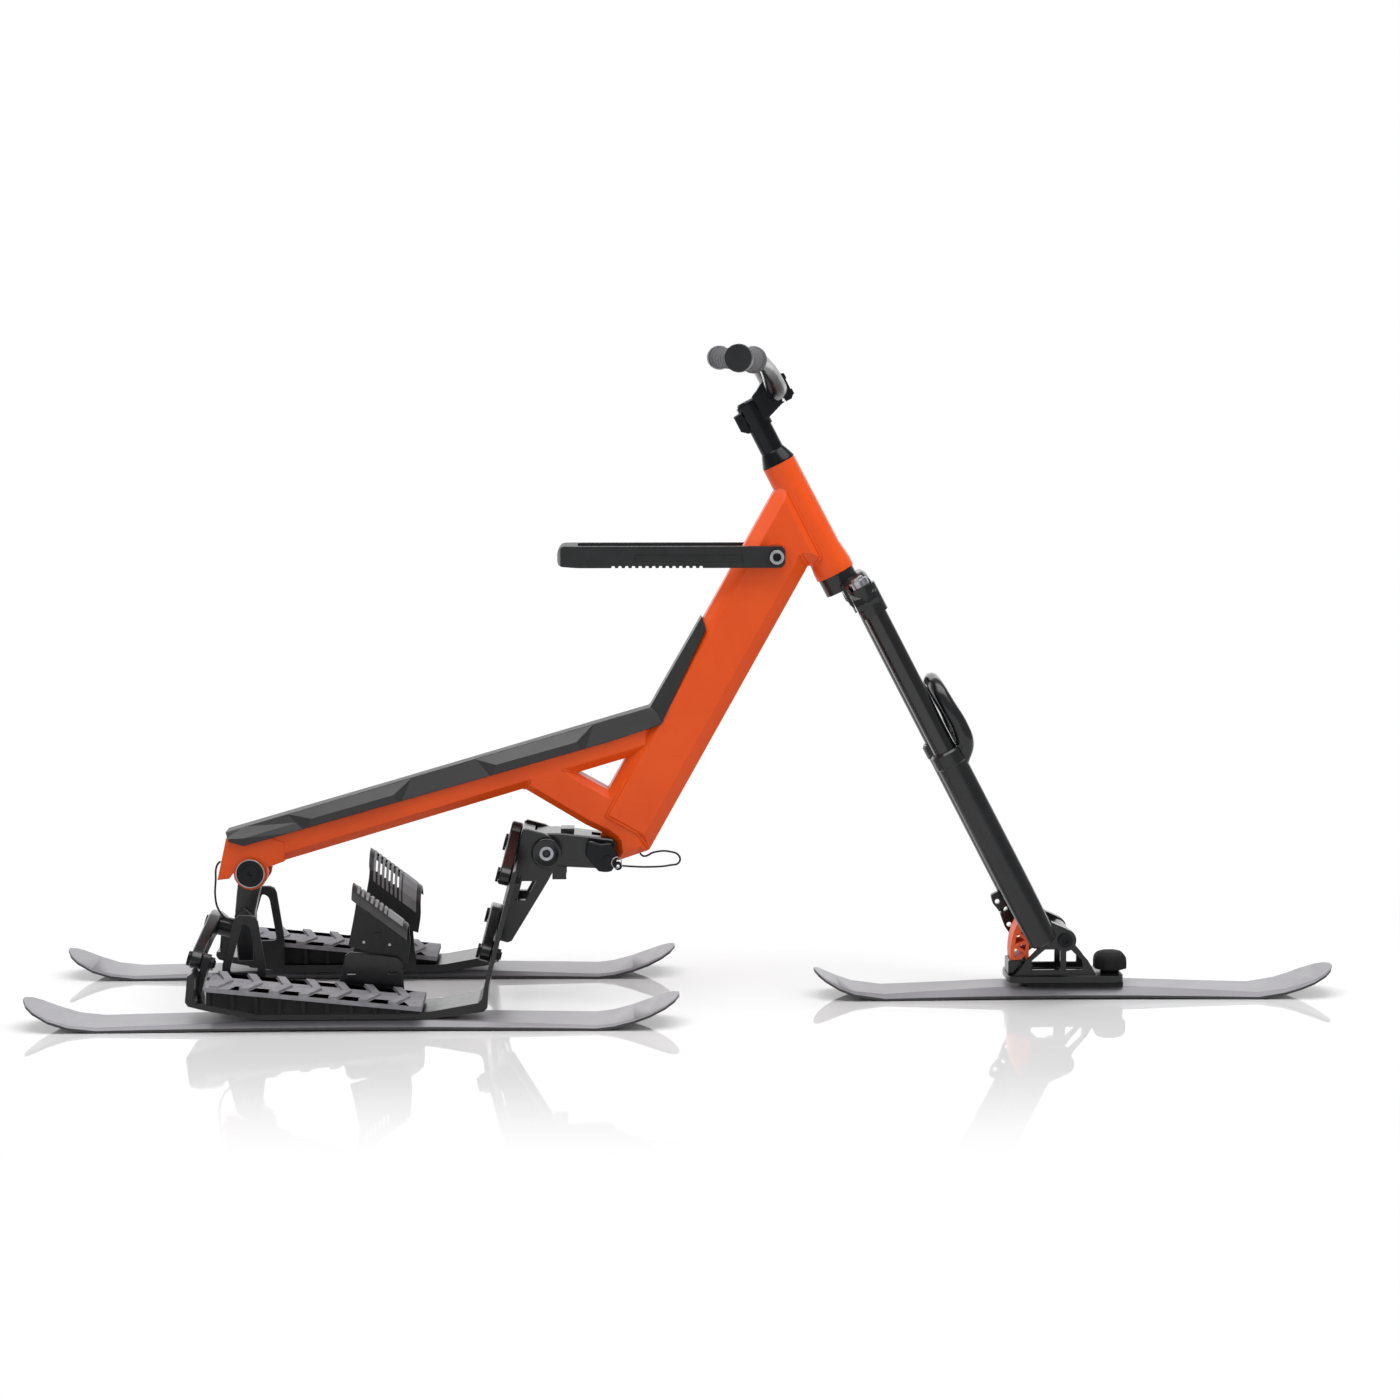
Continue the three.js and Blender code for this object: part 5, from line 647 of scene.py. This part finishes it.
def padBlock():
    # a grid bent round into a closed tube, with its ends filled
    work = bmesh.new()
    last = len(padStations) - 1
    sides = padSizes["sides"]
    bmesh.ops.create_grid(work, x_segments=sides, y_segments=last, size=1)
    columns = [[None] * (sides + 1) for _ in padStations]
    for vertex in work.verts:
        row, station = round((vertex.co.x + 1) / 2 * sides), round((vertex.co.y + 1) / 2 * last)
        columns[station][row] = vertex
    for (top, side, low, half), column in zip(padStations, columns):
        right = [(-padSizes["lowHalf"], low), (-half, side), (-padSizes["topHalf"], top)]
        left = [(-y, point) for y, point in reversed(right)]
        across = right + left + right[:1]
        for vertex, (y, (x, z)) in zip(column, across):
            vertex.co = (x * mm, y * mm, z * mm)
    raised = [half > padSizes["raisedFrom"] for _, _, _, half in padStations]
    for here in range(1, last):
        for other in (here - 1, here + 1):
            if raised[here] and not raised[other]:
                # each slope down from a raised facet folds along these pairs of rows
                for ridge, corner in [(1, 0), (1, 2), (4, 3), (4, 5)]:
                    bmesh.ops.connect_verts(work, verts=[columns[here][ridge], columns[other][corner]])
    bmesh.ops.remove_doubles(work, verts=work.verts, dist=samePoint)
    bmesh.ops.holes_fill(work, edges=[edge for edge in work.edges if edge.is_boundary])
    bmesh.ops.connect_verts_nonplanar(work, angle_limit=math.radians(padSizes["warp"]), faces=work.faces)
    bmesh.ops.recalc_face_normals(work, faces=work.faces)
    return work


def makePad():
    # the block is cut to the room of the pad's solid
    block = addObject("padBlock", newMesh("padBlock", padBlock()))
    room = addObject("padRoom", mergedCopy("frame_pad"))
    addBoolean(block, "INTERSECT", room)
    work = workOn(shownMesh(block))
    for spare in (block, room):
        bpy.data.objects.remove(spare)
    bmesh.ops.remove_doubles(work, verts=work.verts, dist=sameCorner)
    joinFlats(work, padSizes["flat"])
    smoothFaces(work)
    sharpEdges(work, padSizes["edgeAngle"])
    for face in work.faces:
        face.material_index = 0
    pad = meshPiece("framePad", work, "frame", "pad")
    easeEdges(pad, padSizes["edge"], padSizes["edgeAngle"])
    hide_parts("frame_pad")


makePad()
print("pad made")

# bright rings in the black axle caps
ringSizes = {"teeth": 12, "pointsPerTooth": 4, "proud": 0.6, "depth": 2, "edge": 0.3}
rings = {
    # the axle that carries it: outer and inner radius, and how far its teeth reach in, as a share
    "hub_axle": (10.6, 6.6, 0.14), "lift_loop_axle": (10.8, 7, 0.14), "rear_axle": (21.6, 20.2, 0),
}


def addDisc(work, radius, segments):
    # a flat round face across z, in metres
    circle = bmesh.ops.create_circle(work, cap_ends=True, segments=segments, radius=radius)
    return circle["verts"][0].link_faces[0]


def addRound(work, radius, farRadius, length, segments):
    # a closed round form along z about its own middle, in metres
    return bmesh.ops.create_cone(work, cap_ends=True, segments=segments, radius1=radius, radius2=farRadius,
                                 depth=length)["verts"]


def standOut(x, y, z, outwards):
    # turns a shape that stands along z to stand along y, outwards from the place in metres
    return Matrix.Translation((x, y, z)) @ Matrix.Rotation(math.radians(-90 * outwards), 4, "X")


def seat(work, matrix):
    # moves what was made since the last call, which is what has no tag yet
    bmesh.ops.transform(work, matrix=matrix, verts=[vertex for vertex in work.verts if not vertex.tag])
    for vertex in work.verts:
        vertex.tag = True


def makeAxleRing(node, outer, inner, bite):
    low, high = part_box(node)
    middle = middleOf(node)
    points = ringSizes["pointsPerTooth"]
    work = bmesh.new()
    for end, outwards in ((low[1], -1), (high[1], 1)):
        disc = addDisc(work, outer * mm, ringSizes["teeth"] * points)
        bmesh.ops.inset_individual(work, faces=[disc], thickness=(outer - inner) * mm)
        inside = list(disc.verts)
        bmesh.ops.delete(work, geom=[disc], context="FACES_ONLY")
        for i, vertex in enumerate(inside):
            if i % points < points / 2:
                vertex.co *= 1 - bite
        flat = [face for face in work.faces if all(abs(vertex.co.z) < samePoint for vertex in face.verts)]
        raised = bmesh.ops.extrude_face_region(work, geom=flat)
        rim = [item for item in raised["geom"] if isinstance(item, bmesh.types.BMVert)]
        bmesh.ops.translate(work, verts=rim, vec=(0, 0, (ringSizes["proud"] + ringSizes["depth"]) * mm))
        seat(work, standOut(middle.x, end - outwards * ringSizes["depth"] * mm, middle.z, outwards))
    ring = meshPiece(node + "Ring", work, bodyOf[node], "steel")
    easeEdges(ring, ringSizes["edge"])


for node, (outer, inner, bite) in rings.items():
    makeAxleRing(node, outer, inner, bite)
print("axle rings made")

# dished black cap round each of the hub's rings, as steps inwards from its rim and outwards along the axle
hubCap = {"radius": 22.5, "wall": 1.4, "segments": 64, "edge": 0.3,
          "steps": ((0.8, 0.9), (1.4, 0.4), (2.2, -0.3), (3.6, -1.4), (2.6, -0.5))}


def makeHubCaps():
    low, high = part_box("hub_axle")
    middle = middleOf("hub_axle")
    work = bmesh.new()
    for end, outwards in ((low[1], -1), (high[1], 1)):
        disc = addDisc(work, hubCap["radius"] * mm, hubCap["segments"])
        disc = bmesh.ops.extrude_discrete_faces(work, faces=[disc])["faces"][0]
        bmesh.ops.translate(work, verts=disc.verts, vec=(0, 0, hubCap["wall"] * mm))
        for thickness, depth in hubCap["steps"]:
            bmesh.ops.inset_individual(work, faces=[disc], thickness=thickness * mm, depth=depth * mm)
        seat(work, standOut(middle.x, end - outwards * hubCap["wall"] * mm, middle.z, outwards))
    smoothFaces(work)
    caps = meshPiece("hubCaps", work, bodyOf["hub_axle"], "black_casting")
    easeEdges(caps, hubCap["edge"])


makeHubCaps()

# squarish bump stop with cut corners on its own round neck, whose sizes are shares of its solid's box
bumpStop = {"neckRadius": 0.3, "neckHeight": 0.17, "neckSides": 32, "corner": 0.27, "crown": 0.42,
            "crownSteps": 6, "edge": 0.8}


def roundOff(work, edges, width, steps):
    bmesh.ops.bevel(work, geom=edges, offset=width, segments=steps, profile=0.5, affect="EDGES")


def makeBumpStop():
    low, high = (Vector(corner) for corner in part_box("bump_stop"))
    size = high - low
    neck = size.z * bumpStop["neckHeight"]
    work = bmesh.new()
    bmesh.ops.create_cube(work, size=1)
    bmesh.ops.scale(work, verts=work.verts, vec=(size.x, size.y, size.z - neck))
    bmesh.ops.translate(work, verts=work.verts, vec=(0, 0, neck / 2))
    upright = [edge for edge in work.edges if abs(edge.verts[0].co.z - edge.verts[1].co.z) > neck]
    roundOff(work, upright, size.x * bumpStop["corner"], 1)
    rim = [edge for edge in work.edges if min(vertex.co.z for vertex in edge.verts) > neck]
    roundOff(work, rim, size.z * bumpStop["crown"], bumpStop["crownSteps"])
    smoothFaces(work)
    sharpEdges(work)
    # half of the neck is inside the block
    radius = size.x * bumpStop["neckRadius"]
    foot = addRound(work, radius, radius, neck * 2, bumpStop["neckSides"])
    bmesh.ops.translate(work, verts=foot, vec=(0, 0, neck - size.z / 2))
    bmesh.ops.translate(work, verts=work.verts, vec=(low + high) / 2)
    stop = meshPiece("bumpStop", work, bodyOf["bump_stop"], "rubber")
    easeEdges(stop, bumpStop["edge"])
    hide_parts("bump_stop")


makeBumpStop()
print("hub caps and bump stop made")

# grip ends: a black cap with a thin bright ring behind it
gripEnd = {
    "proud": 1.2, "segments": 40,
    # from the tip inwards: name, slot, radius, length and eased edge
    "parts": (("Cap", "black_plastic", 19, 9, 1.6), ("Ring", "steel", 19.6, 1.6, 0.4)),
}


def makeGripEnd(node):
    # the grip's axis is the direction in which its corners spread most
    corners = np.array([vertex.co for vertex in nodes[node].data.vertices])
    middle = corners.mean(axis=0)
    axis = np.linalg.svd(corners - middle, full_matrices=False)[2][0]
    axis *= np.sign(axis[1] * middle[1])
    tip = Vector(middle + axis * ((corners - middle) @ axis).max())
    outwards = Vector(axis)
    facing = outwards.to_track_quat("Z", "Y").to_matrix().to_4x4()
    start = gripEnd["proud"]
    for name, slot, radius, length, edge in gripEnd["parts"]:
        work = bmesh.new()
        addRound(work, radius * mm, radius * mm, length * mm, gripEnd["segments"])
        place = Matrix.Translation(tip + outwards * (start - length / 2) * mm)
        bmesh.ops.transform(work, matrix=place @ facing, verts=work.verts)
        smoothFaces(work)
        piece = meshPiece(node + name, work, bodyOf[node], slot)
        easeEdges(piece, edge)
        start -= length


for node in ("grip_right", "grip_left"):
    makeGripEnd(node)
print("grip ends made")

# bright split ring that joins the front lanyard to the lock pin: its middle is measured from the low, near
# and front corner of the pin's box, and the tilt is in degrees
splitRing = {"middle": (-8.25, 1.8, 14.5), "radius": 8.2, "segments": 40, "wire": 0.9, "wireSides": 10,
             "tilt": 26}


def makeSplitRing():
    low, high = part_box("front_lock_pin")
    middle = Vector((high[0], low[1], low[2])) + Vector(splitRing["middle"]) * mm
    work = bmesh.new()
    bmesh.ops.create_circle(work, segments=splitRing["wireSides"], radius=splitRing["wire"] * mm)
    bmesh.ops.translate(work, verts=work.verts, vec=(splitRing["radius"] * mm, 0, 0))
    bmesh.ops.spin(work, geom=allOf(work), cent=(0, 0, 0), axis=(0, 1, 0), dvec=(0, 0, 0), angle=2 * math.pi,
                   steps=splitRing["segments"], use_merge=True)
    bmesh.ops.rotate(work, verts=work.verts, matrix=Matrix.Rotation(math.radians(splitRing["tilt"]), 3, "Z"))
    bmesh.ops.translate(work, verts=work.verts, vec=middle)
    smoothFaces(work)
    meshPiece("splitRing", work, bodyOf["front_lock_pin"], "steel")


makeSplitRing()

# two small screws on each foot hook's wall, by x and z from the low and back corner of the hook's box. The
# head narrows to a share, and its middle stands out from the wall
screwSizes = {"radius": 2.6, "narrowing": 0.8, "height": 1.4, "segments": 20, "wall": 4, "lift": 0.2,
              "places": ((23, 32), (61, 28))}


def makeHookScrews(node, side):
    # they sit on the outer face of the wall, which is at the side of the hook nearest the centre line
    low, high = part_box(node)
    y = (low[1] if side > 0 else high[1]) + side * (screwSizes["wall"] + screwSizes["lift"]) * mm
    radius, height = screwSizes["radius"] * mm, screwSizes["height"] * mm
    work = bmesh.new()
    for x, z in screwSizes["places"]:
        head = addRound(work, radius, radius * screwSizes["narrowing"], height, screwSizes["segments"])
        place = standOut(low[0] + x * mm, y, low[2] + z * mm, side)
        bmesh.ops.transform(work, matrix=place, verts=head)
    meshPiece(node + "Screws", work, bodyOf[node], "steel")


makeHookScrews("foot_hook_right", -1)
makeHookScrews("foot_hook_left", 1)

# ribs and a rounded panel on the bend of each foot hook, as places along x, in a light grey that is painted
# light on the upward faces
ribSizes = {
    "first": -489, "pitch": 6.5, "gap": 3, "count": 6, "panelFrom": -448, "panelTo": -427,
    "height": 1.1, "edge": 0.3,
    # x and z of the back and the front of the bend's top edge, and how far down from it the ribs reach
    "crest": ((-499, 205), (-420, 144)), "reach": 43.2,
    # they leave out the faces that look outwards, to the front or back, or down by more than this
    "outwards": 0.35, "endways": 0.9, "down": 0.3,
}


def isLitTopFace(face, side):
    (backX, backZ), (frontX, frontZ) = ribSizes["crest"]
    middle = face.calc_center_median() / mm
    crest = backZ + (frontZ - backZ) / (frontX - backX) * (middle.x - backX)
    looksAway = (face.normal.y * side > ribSizes["outwards"] or abs(face.normal.x) > ribSizes["endways"]
                 or face.normal.z < -ribSizes["down"])
    return not looksAway and middle.z >= crest - ribSizes["reach"]


def ribSpans():
    # start and end of each rib and of the panel
    starts = [ribSizes["first"] + ribSizes["pitch"] * i for i in range(-1, ribSizes["count"])]
    spans = [(start + ribSizes["gap"], start + ribSizes["pitch"]) for start in starts]
    return spans + [(ribSizes["panelFrom"], ribSizes["panelTo"])]


def makeHookRibs(node, side):
    work = workOn(nodes[node].data)
    bmesh.ops.remove_doubles(work, verts=work.verts, dist=sameCorner)
    bmesh.ops.delete(work, geom=[face for face in work.faces if not isLitTopFace(face, side)], context="FACES")
    spans = ribSpans()
    for x in sorted({end for span in spans for end in span}):
        bmesh.ops.bisect_plane(work, geom=allOf(work), plane_co=(x * mm, 0, 0), plane_no=(1, 0, 0))
    between = [face for face in work.faces
               if not any(low < face.calc_center_median().x / mm < high for low, high in spans)]
    bmesh.ops.delete(work, geom=between, context="FACES")
    if not work.faces:
        raise RuntimeError("no ribs found on " + node)
    bmesh.ops.recalc_face_normals(work, faces=work.faces)
    if sum(face.normal.z * face.calc_area() for face in work.faces) < 0:
        bmesh.ops.reverse_faces(work, faces=work.faces)
    bmesh.ops.solidify(work, geom=work.faces, thickness=-ribSizes["height"] * mm)
    # the ribs' light grey is painted light, where the overhead light falls on the hook's upward faces
    piece = meshPiece(node + "Ribs", work, bodyOf[node], "hook_grey")
    easeEdges(piece, ribSizes["edge"])


makeHookRibs("foot_hook_right", -1)
makeHookRibs("foot_hook_left", 1)
print("hook trim made")

# pale glossy floor and soft studio light, in metres; the tone fades to plain white between two distances from
# the middle, and the squeeze makes them longer along x
studio = {
    "floorSize": 60, "floorTone": "#DCDCDD", "backdrop": 1.0, "fill": 0.34, "fadeFrom": 0.42, "fadeTo": 0.92,
    "squeeze": 0.36, "aim": (0, 0, 0.3),
}
lamps = [
    # name, place, width, depth, watts and whether it shows in gloss
    ("overhead", (0.0, -0.4, 2.6), 3.4, 2.0, 80, True), ("leftCard", (-3.0, -2.2, 1.7), 1.0, 2.0, 18, False),
    ("rightCard", (3.0, -1.5, 1.8), 0.8, 2.0, 20, False), ("backCard", (0.0, 3.2, 1.1), 7.0, 2.2, 52, True),
]


def paleFloor():
    # polished white acrylic: a mirror close to the skis, fading to plain white further out
    settings = {"Base Color": linear(studio["floorTone"]), "Roughness": 0.03, "IOR": 1.45,
                "Specular IOR Level": 0.28}
    material, (tree, shader, place) = startMaterial("paleFloor", settings)
    squeezed = addNode(tree, "ShaderNodeMapping", {"Scale": (studio["squeeze"], 1, 1)}, {"Vector": place})
    reach = addNode(tree, "ShaderNodeVectorMath", {"operation": "LENGTH"},
                    {"Vector": squeezed.outputs["Vector"]})
    fade = addNode(tree, "ShaderNodeMapRange", {"From Min": studio["fadeFrom"], "From Max": studio["fadeTo"],
                   "interpolation_type": "SMOOTHSTEP"}, {"Value": reach.outputs["Value"]})
    white = addNode(tree, "ShaderNodeEmission", {"Strength": studio["backdrop"]})
    # its inputs are the factor and the two shaders
    mix = addNode(tree, "ShaderNodeMixShader")
    for spot, source in enumerate((fade.outputs["Result"], shader.outputs[0], white.outputs[0])):
        tree.links.new(source, mix.inputs[spot])
    tree.links.new(mix.outputs[0], tree.nodes["Material Output"].inputs["Surface"])
    return material


def makeFloor():
    work = bmesh.new()
    bmesh.ops.create_grid(work, x_segments=1, y_segments=1, size=studio["floorSize"] / 2)
    floor = addObject("floor", newMesh("floor", work))
    floor.data.materials.append(paleFloor())


def makeWorld():
    # a white backdrop, while the light it gives is low so that the lamps shape the object
    world = bpy.data.worlds.new("studio")
    world.use_nodes = True
    tree = world.node_tree
    seen = tree.nodes["Background"]
    seen.inputs["Color"].default_value = linear("#FFFFFF")
    ray = addNode(tree, "ShaderNodeLightPath")
    level = addNode(tree, "ShaderNodeMapRange", {"To Min": studio["fill"], "To Max": studio["backdrop"]},
                    {"Value": ray.outputs["Is Camera Ray"]})
    tree.links.new(level.outputs["Result"], seen.inputs["Strength"])
    bpy.context.scene.world = world


def makeLamp(name, place, width, depth, power, glossy):
    light = bpy.data.lights.new(name, "AREA")
    light.shape = "RECTANGLE"
    light.size = width
    light.size_y = depth
    light.energy = power
    lamp = addObject(name, light)
    lamp.location = place
    lamp.rotation_euler = (Vector(studio["aim"]) - Vector(place)).to_track_quat("-Z", "Y").to_euler()
    lamp.visible_camera = False
    lamp.visible_glossy = glossy


makeFloor()
makeWorld()
for lamp in lamps:
    makeLamp(*lamp)
bpy.context.scene.view_settings.view_transform = "Standard"
print("studio made")
